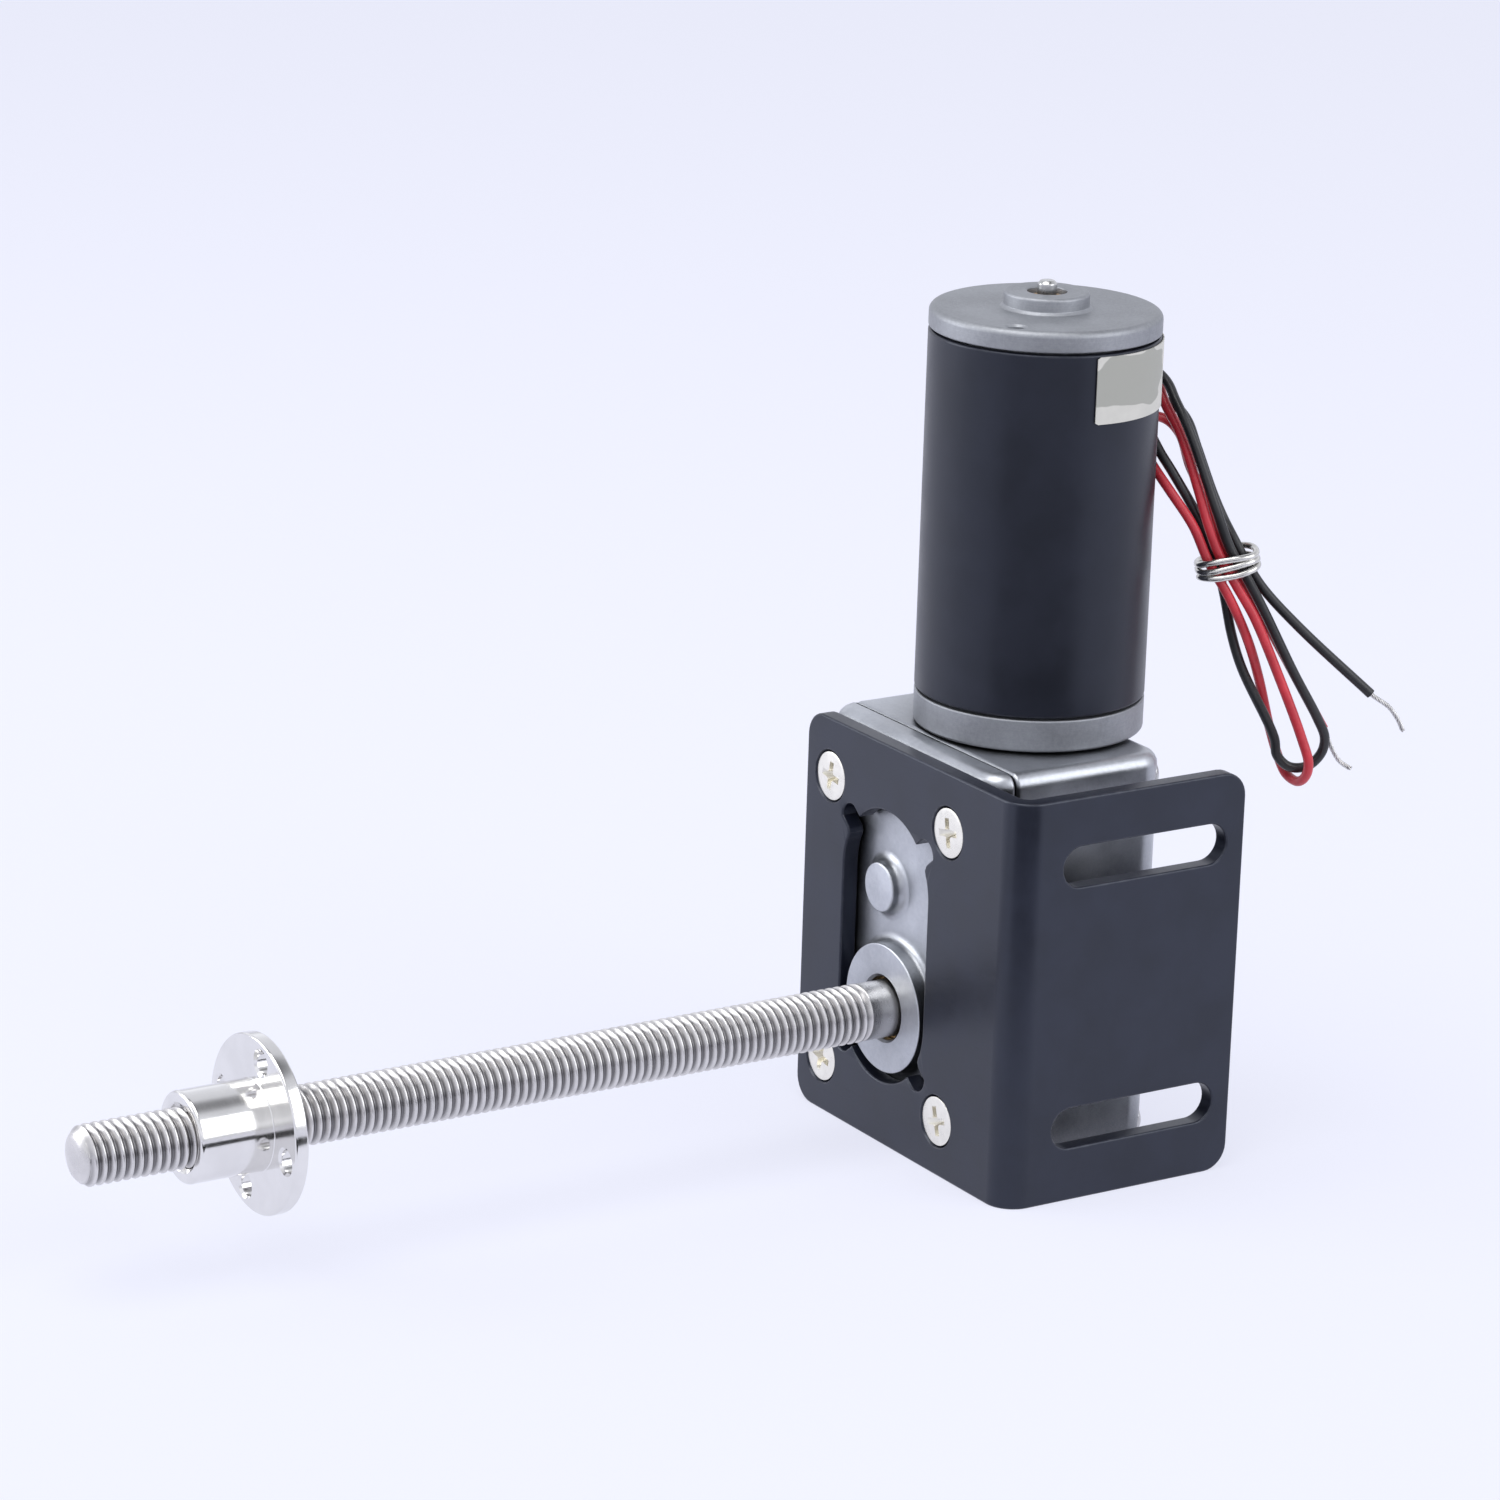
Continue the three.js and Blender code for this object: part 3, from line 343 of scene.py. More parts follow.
NICKEL = finish("bright_nickel", (0.80, 0.79, 0.775), 1.0, 0.13, rough_spread=0.03, shade=0.04,
                grain=0.5, grain_height=0.0008, turned=NUT_TURNING, groove=0.07,
                groove_height=0.0012)
SCREW_NICKEL = finish("screw_nickel", (0.90, 0.875, 0.80), 1.0, 0.30, rough_spread=0.04,
                      shade=0.04, blotch=1.5, grain=0.18, grain_height=0.0015)
STAINLESS = finish("stainless_thread", (0.68, 0.665, 0.655), 1.0, 0.30, rough_spread=0.04,
                   shade=0.07, blotch=3.0, grain=0.2, grain_height=0.0008, turned=NUT_TURNING,
                   groove=0.11, groove_height=0.0005)


def from_place(tree, place):
    """How far a shaded point lies from a place, in metres."""
    here = node(tree, "TexCoord").outputs["Object"]
    return node(tree, "VectorMath", {0: here, 1: tuple(place)}, operation="SUBTRACT").outputs[0]


def overlay(material, mask, colour):
    """Shows another colour where the mask is 1."""
    tree = material.node_tree
    base = tree.nodes["Principled BSDF"].inputs["Base Color"]
    both = node(tree, "Mix", {0: mask, 6: base.links[0].from_socket, 7: (*colour, 1)},
                data_type="RGBA")
    tree.links.new(both.outputs[2], base)


def paint_root_shade(material, colour, root, crest, start):
    """Paints shade into the colour of the thread's roots: the deeper a point lies, the darker it
    is, and the pointed tip gets none.
    """
    tree = material.node_tree
    parts = node(tree, "SeparateXYZ", {0: from_place(tree, P(*SCREW_AXIS))})
    flat = node(tree, "CombineXYZ", {0: parts.outputs[0], 1: 0.0, 2: parts.outputs[2]}).outputs[0]
    radius = node(tree, "VectorMath", {0: flat}, operation="LENGTH").outputs["Value"]
    depth = node(tree, "MapRange", {
        "Value": radius, "From Min": crest * MM, "From Max": root * MM}).outputs[0]
    behind = node(tree, "MapRange", {
        "Value": parts.outputs[1], "From Min": start * MM, "From Max": (start + 0.8) * MM})
    mask = node(tree, "Math", {0: depth, 1: behind.outputs[0]}, operation="MULTIPLY").outputs[0]
    overlay(material, mask, colour)


# painted shade: the roots of the thread get a dark colour in place of the shade that falls in them
paint_root_shade(STAINLESS, (0.20, 0.195, 0.20), ROOT + 0.04, CREST - 0.12, TIP + 0.7)
STEEL = finish("machined_steel", (0.52, 0.52, 0.52), 1.0, 0.28, rough_spread=0.06, shade=0.08,
               blotch=3.0, grain=0.2, grain_height=0.003)
SHAFT_STEEL = finish("ground_shaft", (0.55, 0.55, 0.54), 1.0, 0.22, rough_spread=0.05, shade=0.08,
                     blotch=2.0, grain=0.2, grain_height=0.002, turned=MOTOR_TURNING, groove=0.06,
                     groove_height=0.0015)
TIE_STEEL = finish("tie_wire", (0.64, 0.63, 0.60), 1.0, 0.20, rough_spread=0.06, shade=0.10,
                   blotch=1.2, grain=0.15, grain_height=0.003)
TINNED = finish("tinned_strand", (0.62, 0.61, 0.60), 1.0, 0.30, rough_spread=0.08, shade=0.18,
                blotch=0.8, grain=0.12, grain_height=0.003)
BRONZE = finish("oiled_bronze", (0.42, 0.27, 0.12), 1.0, 0.36, rough_spread=0.06, shade=0.15,
                blotch=2.0, grain=0.12, grain_height=0.004, speckle=0.15)
COPPER = finish("enamelled_copper", (0.55, 0.22, 0.09), 0.9, 0.30, shade=0.15, blotch=2.0,
                grain=0.3, grain_height=0.02)
FERRITE = finish("ferrite", (0.045, 0.046, 0.05), 0.0, 0.75, shade=0.2, grain=0.15,
                 grain_height=0.006)
CARBON = finish("pressed_carbon", (0.02, 0.02, 0.02), 0.1, 0.55, shade=0.2, grain=0.12,
                grain_height=0.005)
PLATES = finish("core_plates", (0.30, 0.30, 0.32), 1.0, 0.42, shade=0.12, blotch=3.0, grain=0.3,
                grain_height=0.004)
PLASTIC = finish("moulded_plastic", (0.74, 0.70, 0.58), 0.0, 0.5, shade=0.05, grain=0.3,
                 grain_height=0.004)
RUBBER = finish("moulded_rubber", (0.018, 0.018, 0.018), 0.0, 0.7, shade=0.2, grain=0.2,
                grain_height=0.008)
RED = finish("red_sleeve", (0.50, 0.028, 0.042), 0.0, 0.36, rough_spread=0.06, shade=0.14,
             blotch=4.0, grain=0.35, grain_height=0.006)
BLACK = finish("black_sleeve", (0.014, 0.014, 0.016), 0.0, 0.36, rough_spread=0.06, shade=0.2,
               blotch=4.0, grain=0.35, grain_height=0.006)


# ======== mesh tools ========


def new_object(name, bm):
    bmesh.ops.remove_doubles(bm, verts=bm.verts, dist=1e-7)
    bmesh.ops.recalc_face_normals(bm, faces=bm.faces)
    mesh = bpy.data.meshes.new(name)
    bm.to_mesh(mesh)
    bm.free()
    return in_scene(name, mesh)


def bridge(bm, low, high):
    """Joins two rings of vertices with faces. Either ring may be a single vertex."""
    count = max(len(low), len(high))
    for j in range(count):
        k = (j + 1) % count
        corners = [low[j % len(low)], high[j % len(high)], high[k % len(high)], low[k % len(low)]]
        bm.faces.new(list(dict.fromkeys(corners)))


def with_round_corners(profile, closed, steps=4):
    """Replaces each corner of a polyline that has a third number by an arc of that radius."""
    points = [Vector(p[:2]) for p in profile]
    radii = [p[2] if len(p) > 2 else 0 for p in profile]
    count, out = len(points), []
    for i, here in enumerate(points):
        if not radii[i] or (not closed and i in (0, count - 1)):
            out.append(here)
            continue
        to_last = points[i - 1] - here
        to_next = points[(i + 1) % count] - here
        a, b = to_last.normalized(), to_next.normalized()
        half = math.acos(max(-1, min(1, a.dot(b)))) / 2
        if half > math.pi / 2 - 0.02:
            out.append(here)
            continue
        cut = min(radii[i] / math.tan(half), 0.48 * to_last.length, 0.48 * to_next.length)
        radius = cut * math.tan(half)
        centre = here + (a + b).normalized() * (radius / math.sin(half))
        start, end = here + a * cut - centre, here + b * cut - centre
        turn = math.atan2(start.x * end.y - start.y * end.x, start.dot(end))
        for k in range(steps + 1):
            angle = turn * k / steps
            c, s = math.cos(angle), math.sin(angle)
            out.append(centre + Vector((start.x * c - start.y * s, start.x * s + start.y * c)))
    return out


AXES = {"y": (Vector((0, 1, 0)), Vector((0, 0, 1)), Vector((1, 0, 0))),
        "z": (Vector((0, 0, 1)), Vector((1, 0, 0)), Vector((0, 1, 0)))}


def lathe(name, axis, centre, profile, segments=96, closed=False, steps=4):
    """A turned solid. The profile lists (radius, place along the axis, optional rounding)."""
    along, first, second = AXES[axis]
    points = with_round_corners(profile, closed, steps)
    bm = bmesh.new()
    rings = []
    for radius, place in points:
        middle = P(*centre) + along * place * MM
        if radius < 1e-6:
            rings.append([bm.verts.new(middle)])
            continue
        ring = []
        for j in range(segments):
            right, up = around(2 * math.pi * j / segments)
            ring.append(bm.verts.new(middle + (first * right + second * up) * radius * MM))
        rings.append(ring)
    for low, high in zip(rings, rings[1:] + rings[:1] if closed else rings[1:]):
        bridge(bm, low, high)
    return new_object(name, bm)


def rod(axis, centre, radius, start, end, segments=48):
    return lathe("cutter", axis, centre, [(0, start), (radius, start), (radius, end), (0, end)],
                 segments)


def rounded_box(name, low, high, corner, edge, steps=8, edge_steps=5):
    """A box whose upright corners and whose top and bottom edges are rounded."""
    (x0, y0, z0), (x1, y1, z1) = low, high
    levels = []
    for k in range(edge_steps + 1):
        angle = math.pi / 2 * k / edge_steps
        levels.append((edge * (1 - math.sin(angle)), z0 + edge * (1 - math.cos(angle))))
    levels += [(inset, z0 + z1 - z) for inset, z in reversed(levels)]
    bm = bmesh.new()
    rings = []
    for inset, z in levels:
        radius = corner - inset
        ring = []
        for i, (cx, cy) in enumerate(((x1 - corner, y1 - corner), (x0 + corner, y1 - corner),
                                      (x0 + corner, y0 + corner), (x1 - corner, y0 + corner))):
            for k in range(steps + 1):
                right, up = around(math.pi / 2 * (i + k / steps), radius)
                ring.append(bm.verts.new(P(cx + right, cy + up, z)))
        rings.append(ring)
    bm.faces.new(rings[0])
    bm.faces.new(rings[-1])
    for low_ring, high_ring in zip(rings, rings[1:]):
        bridge(bm, low_ring, high_ring)
    return new_object(name, bm)


def box(low, high):
    bm = bmesh.new()
    corners = [bm.verts.new(P(x, y, z)) for x in (low[0], high[0]) for y in (low[1], high[1])
               for z in (low[2], high[2])]
    for face in ((0, 1, 3, 2), (4, 6, 7, 5), (0, 4, 5, 1), (2, 3, 7, 6), (0, 2, 6, 4),
                 (1, 5, 7, 3)):
        bm.faces.new([corners[i] for i in face])
    return new_object("cutter", bm)


def boolean(target, operation, *others):
    """Applies booleans to a piece at once and removes the other solids."""
    for other in others:
        step = target.modifiers.new("step", "BOOLEAN")
        step.operation, step.solver, step.object = operation, "MANIFOLD", other
    graph = bpy.context.evaluated_depsgraph_get()
    mesh = bpy.data.meshes.new_from_object(target.evaluated_get(graph))
    target.modifiers.clear()
    old, target.data = target.data, mesh
    mesh.name = target.name
    bpy.data.meshes.remove(old)
    for other in others:
        data = other.data
        bpy.data.objects.remove(other)
        bpy.data.meshes.remove(data)
    return target


def cut(target, *others):
    return boolean(target, "DIFFERENCE", *others)


def add(target, *others):
    return boolean(target, "UNION", *others)


def slice_y(made, place, side, rim):
    """Keeps what lies on one side of a plane across Y, and rounds the rim that the cut leaves."""
    bm = bmesh.new()
    bm.from_mesh(made.data)
    cut_at = bmesh.ops.bisect_plane(
        bm, geom=[*bm.verts, *bm.edges, *bm.faces], dist=1e-7, plane_co=P(0, place, 0),
        plane_no=(0, -side, 0), clear_outer=True)
    edges = [e for e in cut_at["geom_cut"] if isinstance(e, bmesh.types.BMEdge)]
    bmesh.ops.holes_fill(bm, edges=edges, sides=0)
    bmesh.ops.bevel(bm, geom=edges, offset=rim * MM, segments=3, profile=0.5, affect="EDGES")
    bm.to_mesh(made.data)
    bm.free()


def piece(made, material, body, slot, *nodes, smooth=35, weighted=True):
    """Gives a piece its finish, and says which body it rides on and which nodes it replaces."""
    mesh = made.data
    if made.type == "MESH":
        mesh.shade_smooth()
        mesh.set_sharp_from_angle(angle=math.radians(smooth))
        if weighted:
            normals = made.modifiers.new("normals", "WEIGHTED_NORMAL")
            normals.keep_sharp = True
            normals.weight = 80
    mesh.materials.clear()
    mesh.materials.append(material)
    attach(made, body)
    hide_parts(*nodes)


# ======== leads ========

SLEEVE_RADIUS, STRAND_RADIUS, TIE_RADIUS = 0.675, 0.112, 0.45
STRAND_HIDDEN = 0.8  # how far the strands reach into the sleeve
RED_ROUTE = [
    (-3.9, 38.7, 103.8), (-3.9, 39.4, 103.8), (-3.8, 40.8, 103.5), (-3.1, 41.9, 102.4),
    (-1.7, 42.3, 101.0), (0.9, 41.9, 98.6), (3.8, 42.4, 95.2), (8.1, 42.7, 88.4),
    (9.9, 43.1, 84.4), (11.0, 44.5, 80.0), (12.5, 46.6, 75.7), (14.3, 48.6, 71.4),
    (16.8, 51.6, 63.0), (19.1, 54.0, 55.2), (19.9, 54.9, 51.6), (18.8, 55.4, 49.3),
    (16.8, 55.6, 48.0), (14.3, 55.5, 48.5), (12.7, 55.1, 50.9), (12.2, 53.8, 55.0),
    (12.3, 51.4, 62.3), (13.0, 48.5, 68.3), (12.2, 45.7, 74.1), (10.4, 43.4, 78.7),
    (9.1, 41.4, 83.7), (6.5, 39.1, 88.3), (4.5, 38.5, 90.3), (1.7, 38.8, 91.9),
    (-0.5, 39.1, 93.9), (-2.2, 40.1, 95.4), (-2.9, 42.4, 96.1), (-2.2, 44.7, 95.4),
    (-0.5, 45.6, 93.8), (4.6, 43.9, 90.4), (7.4, 45.0, 86.2), (9.2, 45.4, 83.0),
    (10.6, 46.8, 78.7), (11.5, 48.7, 75.3), (12.3, 51.0, 71.5), (16.9, 59.5, 55.0),
]
BLACK_ROUTE = [
    (-1.5, 38.7, 103.8), (-1.5, 39.4, 103.8), (-1.3, 40.8, 103.4), (-0.6, 41.9, 102.4),
    (0.6, 42.4, 101.3), (2.5, 42.3, 99.5), (4.7, 42.3, 97.4), (6.8, 42.8, 94.0),
    (10.6, 43.9, 86.3), (11.8, 45.7, 80.9), (13.2, 47.9, 76.6), (14.5, 50.2, 71.9),
    (16.6, 54.0, 63.6), (18.0, 57.5, 57.0), (18.3, 58.7, 54.2), (17.8, 58.6, 51.8),
    (16.9, 57.1, 50.0), (15.8, 54.9, 49.9), (15.1, 53.2, 51.6), (14.9, 52.7, 54.1),
    (11.8, 48.9, 63.6), (10.8, 47.6, 68.3), (10.3, 46.3, 74.1), (9.6, 45.1, 78.7),
    (8.0, 43.3, 84.0), (5.5, 40.3, 90.3), (3.4, 39.4, 93.0), (0.6, 39.3, 96.0),
    (-1.1, 40.3, 97.7), (-1.8, 42.6, 98.4), (-1.1, 44.9, 97.7), (0.6, 45.8, 96.1),
    (4.2, 45.2, 92.8), (6.5, 46.4, 87.1), (8.1, 47.2, 83.9), (10.4, 47.5, 81.4),
    (11.9, 48.7, 78.3), (13.1, 50.9, 74.7), (16.6, 54.9, 69.5), (22.4, 62.9, 60.9),
]
RED_STRAND = [(17.0, 59.7, 54.7), (17.6, 60.6, 52.2), (18.3, 61.6, 50.4), (19.4, 62.7, 49.5)]
BLACK_STRAND = [(22.7, 63.2, 60.6), (24.0, 64.9, 59.2), (24.8, 66.0, 57.4), (25.2, 66.6, 55.9)]


def between(a, b, start, end, place):
    return a.lerp(b, (place - start) / (end - start))


def smooth_line(points, steps):
    """A centripetal Catmull-Rom line through the points, in millimetres."""
    points = [Vector(p) for p in points]
    padded = [2 * points[0] - points[1], *points, 2 * points[-1] - points[-2]]
    line = []
    for p0, p1, p2, p3 in zip(padded, padded[1:], padded[2:], padded[3:]):
        t1 = (p1 - p0).length ** 0.5
        t2 = t1 + (p2 - p1).length ** 0.5
        t3 = t2 + (p3 - p2).length ** 0.5
        for k in range(steps):
            t = t1 + (t2 - t1) * k / steps
            a1 = between(p0, p1, 0, t1, t)
            a2 = between(p1, p2, t1, t2, t)
            a3 = between(p2, p3, t2, t3, t)
            b1 = between(a1, a2, 0, t2, t)
            b2 = between(a2, a3, t1, t3, t)
            line.append(between(b1, b2, t1, t2, t))
    line.append(points[-1])
    return line


def wires(name, lines, radius, rounds=6):
    """Round wires that follow lines given in millimetres, as one curve."""
    curve = bpy.data.curves.new(name, "CURVE")
    curve.dimensions = "3D"
    curve.bevel_depth = radius * MM
    curve.bevel_resolution = rounds
    curve.use_fill_caps = True
    for line in lines:
        spline = curve.splines.new("POLY")
        spline.points.add(len(line) - 1)
        for point, place in zip(spline.points, line):
            point.co = (*P(*place), 1)
        spline.use_smooth = True
    return in_scene(name, curve)


def length_of(line):
    return sum((b - a).length for a, b in zip(line, line[1:]))


def strand_lines(points, count=6, ring=0.215, pitch=3.2):
    """Seven fine wires twisted together along a line, spreading a little at the free end."""
    middle = smooth_line(points, 16)
    lines = [middle]
    total = length_of(middle)
    for wire in range(count):
        line, done = [], 0.0
        for i, place in enumerate(middle):
            ahead = middle[min(i + 1, len(middle) - 1)] - middle[max(i - 1, 0)]
            ahead.normalize()
            side = ahead.cross(Vector((0.3, 0.9, 0.3))).normalized()
            other = ahead.cross(side)
            if i:
                done += (place - middle[i - 1]).length
            angle = 2 * math.pi * (wire / count + done / pitch)
            spread = ring * (1 + 0.22 * max(0, done / total - 0.75) * (1 + wire % 3))
            line.append(place + (side * math.cos(angle) + other * math.sin(angle)) * spread)
        if wire % 2:
            line = line[:len(line) - 1 - wire]
        lines.append(line)
    return lines


def make_leads():
    for colour, route, strand, material in (
        ("red", RED_ROUTE, RED_STRAND, RED), ("black", BLACK_ROUTE, BLACK_STRAND, BLACK)
    ):
        line = smooth_line(route, 10)
        lead = wires(f"{colour}_lead_wire", [line], SLEEVE_RADIUS)
        piece(lead, material, "gear_motor", f"{colour}_sleeve", f"{colour}_lead")
        end, before = Vector(route[-1]), Vector(route[-2])
        start = end - (end - before).normalized() * STRAND_HIDDEN
        fine = wires(f"{colour}_bare_strands", strand_lines([start, *strand]), STRAND_RADIUS, 3)
        piece(fine, TINNED, "gear_motor", "copper", f"{colour}_lead_end")


make_leads()


def make_tie():
    """The wire wound round the leads, a little over two and a half turns."""
    centre, turns, pitch = Vector((11.1, 46.0, 78.5)), 2.65, 1.02
    across, deep = 4.05, 2.7
    along = Vector((0.09, 0.16, -0.983)).normalized()
    outward = Vector((0.8425, -0.5388, 0)).normalized()
    sideways = outward.cross(along).normalized()
    line = []
    stops = 48
    for i in range(int(turns * stops) + 1):
        angle = 2 * math.pi * i / stops - math.pi / 3
        side, out = (math.copysign(abs(share) ** 0.8, share) for share in around(angle))
        wobble = 0.16 * math.sin(2.3 * angle + 0.6)
        line.append(centre + sideways * across * side + outward * deep * out
                    + along * (pitch * (i / stops - turns / 2) + wobble))
    tie = wires("wire_tie_coil", [line], TIE_RADIUS)
    piece(tie, TIE_STEEL, "gear_motor", "steel", "wire_tie")


make_tie()


# ======== bracket ========

PLATE_LEFT, PLATE_TOP, PLATE_THICK = -20.0, 56.0, 2.5
PLATE_CORNER = 3.5
BEND_START, BEND_OUTER, BEND_MIDDLE = 26.5, 4.0, 2.75
BEND_LENGTH = math.pi / 2 * BEND_MIDDLE
FLANGE_REAR = 36.4
WINDOW_RADIUS, WINDOW_LOW, WINDOW_HIGH = 10.2, 19.0, 36.6
SLOT_FRONT, SLOT_REAR, SLOT_HALF, SLOT_HEIGHTS = 7.44, 33.54, 2.79, (10.2, 46.5)
BRACKET_SCREWS = [(x, 0, z) for z in (7.55, 47.9) for x in (-14.2, 14.2)]
SINK_FRONT, SINK_BACK = 3.7, 2.35
RIM = 0.32


def arc(centre, radius, start, end, steps):
    points = [around(math.radians(start + (end - start) * k / steps), radius)
              for k in range(steps + 1)]
    return [(centre[0] + x, centre[1] + z) for x, z in points]


def reach_of_circle(angle, centre, radius, far):
    """Where a ray from the origin at that angle enters or leaves a circle, or None."""
    direction = Vector((math.cos(angle), math.sin(angle)))
    along = direction.dot(centre)
    off = radius ** 2 - (centre.length_squared - along ** 2)
    if along <= 0 or off < 0:
        return None
    return along + math.sqrt(off) * (1 if far else -1)


def window_outline():
    """The round-ended window, with a small lobe and a small bump at each of its four corners."""
    points = []
    lobe, bump = Vector((8.9, 6.8)), Vector((10.9, 4.6))
    steps = 120
    for level, start in ((WINDOW_HIGH, 0), (WINDOW_LOW, 180)):
        for k in range(steps + 1):
            angle = math.radians(180 * k / steps)
            folded = min(angle, math.pi - angle)
            reach = WINDOW_RADIUS
            at_lobe = reach_of_circle(folded, lobe, 2.0, True)
            at_bump = reach_of_circle(folded, bump, 1.7, False)
            if at_bump is not None:
                reach = min(reach, at_bump) if at_lobe is None else max(reach, at_bump)
            elif at_lobe is not None:
                reach = at_lobe
            x, z = around(angle + math.radians(start), reach)
            points.append((x, level + z))
    return points


def make_bracket():
    length = BEND_START + BEND_LENGTH + FLANGE_REAR - BEND_OUTER
    c = PLATE_CORNER
    outline = (arc((length - c, c), c, -90, 0, 8) + arc((length - c, PLATE_TOP - c), c, 0, 90, 8)
               + arc((PLATE_LEFT + c, PLATE_TOP - c), c, 90, 180, 8)
               + arc((PLATE_LEFT + c, c), c, 180, 270, 8))
    holes = [window_outline()]
    flange = BEND_START + BEND_LENGTH - BEND_OUTER
    for height in SLOT_HEIGHTS:
        holes.append(arc((flange + SLOT_REAR - SLOT_HALF, height), SLOT_HALF, -90, 90, 16)
                     + arc((flange + SLOT_FRONT + SLOT_HALF, height), SLOT_HALF, 90, 270, 16))
    for x, _, z in BRACKET_SCREWS:
        holes.append(arc((x, z), SINK_FRONT, 0, 360, 40)[:-1])
    bm = bmesh.new()
    edges = []
    for loop in [outline, *holes]:
        verts = [bm.verts.new((x, 0, z)) for x, z in loop]
        edges += [bm.edges.new((verts[i], verts[(i + 1) % len(verts)]))
                  for i in range(len(verts))]
    bmesh.ops.triangle_fill(bm, use_beauty=True, use_dissolve=False, edges=edges,
                            normal=(0, -1, 0))
    front = list(bm.faces)
    grown = bmesh.ops.extrude_face_region(bm, geom=front, use_keep_orig=True)
    for item in grown["geom"]:
        if isinstance(item, bmesh.types.BMVert):
            item.co.y += PLATE_THICK
    bmesh.ops.recalc_face_normals(bm, faces=bm.faces)

    def in_a_sink(edge):
        middle = (edge.verts[0].co + edge.verts[1].co) / 2
        return any(math.hypot(middle.x - x, middle.z - z) < SINK_FRONT + 0.3
                   for x, _, z in BRACKET_SCREWS)

    rims = [e for e in bm.edges if len(e.link_faces) == 2 and e.calc_face_angle() > 1.0
            and abs(abs(e.link_faces[0].normal.y) - abs(e.link_faces[1].normal.y)) > 0.5
            and not in_a_sink(e)]
    bmesh.ops.bevel(bm, geom=rims, offset=RIM, segments=3, profile=0.5, affect="EDGES",
                    clamp_overlap=False)
    for vert in bm.verts:
        for x, _, z in BRACKET_SCREWS:
            off = Vector((vert.co.x - x, vert.co.z - z))
            if off.length < SINK_FRONT + 0.2 and vert.co.y > PLATE_THICK / 2:
                off = off.normalized() * SINK_BACK
                vert.co.x, vert.co.z = x + off.x, z + off.y
    bends = 14
    for k in range(bends + 1):
        place = BEND_START + BEND_LENGTH * k / bends
        bmesh.ops.bisect_plane(bm, geom=[*bm.verts, *bm.edges, *bm.faces], dist=1e-5,
                               plane_co=(place, 0, 0), plane_no=(1, 0, 0))
    for vert in bm.verts:
        u, v, z = vert.co
        if u > BEND_START:
            turn = min(1.0, (u - BEND_START) / BEND_LENGTH) * math.pi / 2
            radius = BEND_OUTER - v
            beyond = max(0.0, u - BEND_START - BEND_LENGTH)
            u = BEND_START + radius * math.sin(turn)
            v = BEND_OUTER - radius * math.cos(turn) + beyond
        vert.co = P(u, v, z)
    plate = new_object("bracket_sheet", bm)
    piece(plate, PAINT, "gear_motor", "black_paint", "bracket")


make_bracket()


# ======== screws ========


def cross_recess(place, top, depth, reach, width):
    """Cutters for a cross-shaped recess that narrows towards +Y from the head's top."""
    x, _, z = place
    arms = []
    for turned in (0, 1):
        bm = bmesh.new()
        rings = []
        for level, long, wide in ((-1.0, reach * 1.10, width * 1.06), (0.0, reach, width),
                                  (depth * 0.75, reach * 0.62, width * 0.72),
                                  (depth, reach * 0.22, width * 0.55)):
            ring = []
            for a, b in ((-long, -wide), (long, -wide), (long, wide), (-long, wide)):
                if turned:
                    a, b = -b, a
                ring.append(bm.verts.new(P(x + a, top + level, z + b)))
            rings.append(ring)
        bm.faces.new(rings[0])
        bm.faces.new(rings[-1])
        for low, high in zip(rings, rings[1:]):
            bridge(bm, low, high)
        arms.append(new_object("cutter", bm))
    middle = lathe("cutter", "y", place, [
        (0, top - 1), (width * 1.9, top - 1), (width * 1.8, top), (width, top + depth * 0.9),
        (0, top + depth * 1.1)], 24)
    return [*arms, middle]


def turn_about(made, place, axis, degrees):
    centre = P(*place)
    made.data.transform(Matrix.Translation(centre) @ Matrix.Rotation(math.radians(degrees), 4, axis)
                        @ Matrix.Translation(-centre))


def make_bracket_screws():
    for i, (place, turn) in enumerate(zip(BRACKET_SCREWS, (12, -16, 9, -10))):
        head = lathe(f"countersunk_screw_{i + 1}", "y", place, [
            (0, 0.02), (1.6, 0.03), (2.9, 0.10), (3.36, 0.16, 0.08), (3.36, 0.34, 0.06),
            (2.0, 1.70), (2.0, 5.6, 0.3), (1.5, 5.9), (0, 5.9)], 72)
        cut(head, *cross_recess(place, 0.02, 1.6, 2.05, 0.46))
        turn_about(head, place, "Y", turn)
        piece(head, SCREW_NICKEL, "gear_motor", "nickel_plate", f"bracket_screw_{i + 1}")


make_bracket_screws()

HOUSING_SCREWS = [(x, 0, z) for z in (3.7, 52.7) for x in (-16.3, 16.3)]


def make_housing_screws():
    for i, (place, turn) in enumerate(zip(HOUSING_SCREWS, (20, -35, 5, 40))):
        screw = lathe(f"pan_head_screw_{i + 1}", "y", place, [
            (0, -31.15), (1.3, -31.13), (2.1, -30.95), (2.48, -30.45, 0.2), (2.5, -29.72, 0.1),
            (1.45, -29.7), (1.45, -4.4), (0, -4.3)], 56)
        cut(screw, *cross_recess(place, -31.15, 0.95, 1.35, 0.3))
        turn_about(screw, place, "Z", 180)
        turn_about(screw, place, "Y", turn)
        piece(screw, STEEL, "gear_motor", "steel", f"housing_screw_{i + 1}")


make_housing_screws()


# ======== gearbox ========

CASE_LOW, CASE_HIGH = (-20.0, 2.8, 0.0), (20.0, 31.4, 56.4)
COVER_REAR, HOUSING_FRONT, CAVITY_REAR, WALL = 6.6, 6.9, 29.0, 2.2
FIRST_AXLE, SECOND_AXLE = (9.5, 0, 42.4), (-3.0, 0, 35.24)
BUSH_RADIUS, FIRST_BORE, SECOND_BORE, SCREW_BORE = 5.8, 1.75, 2.25, 1.75


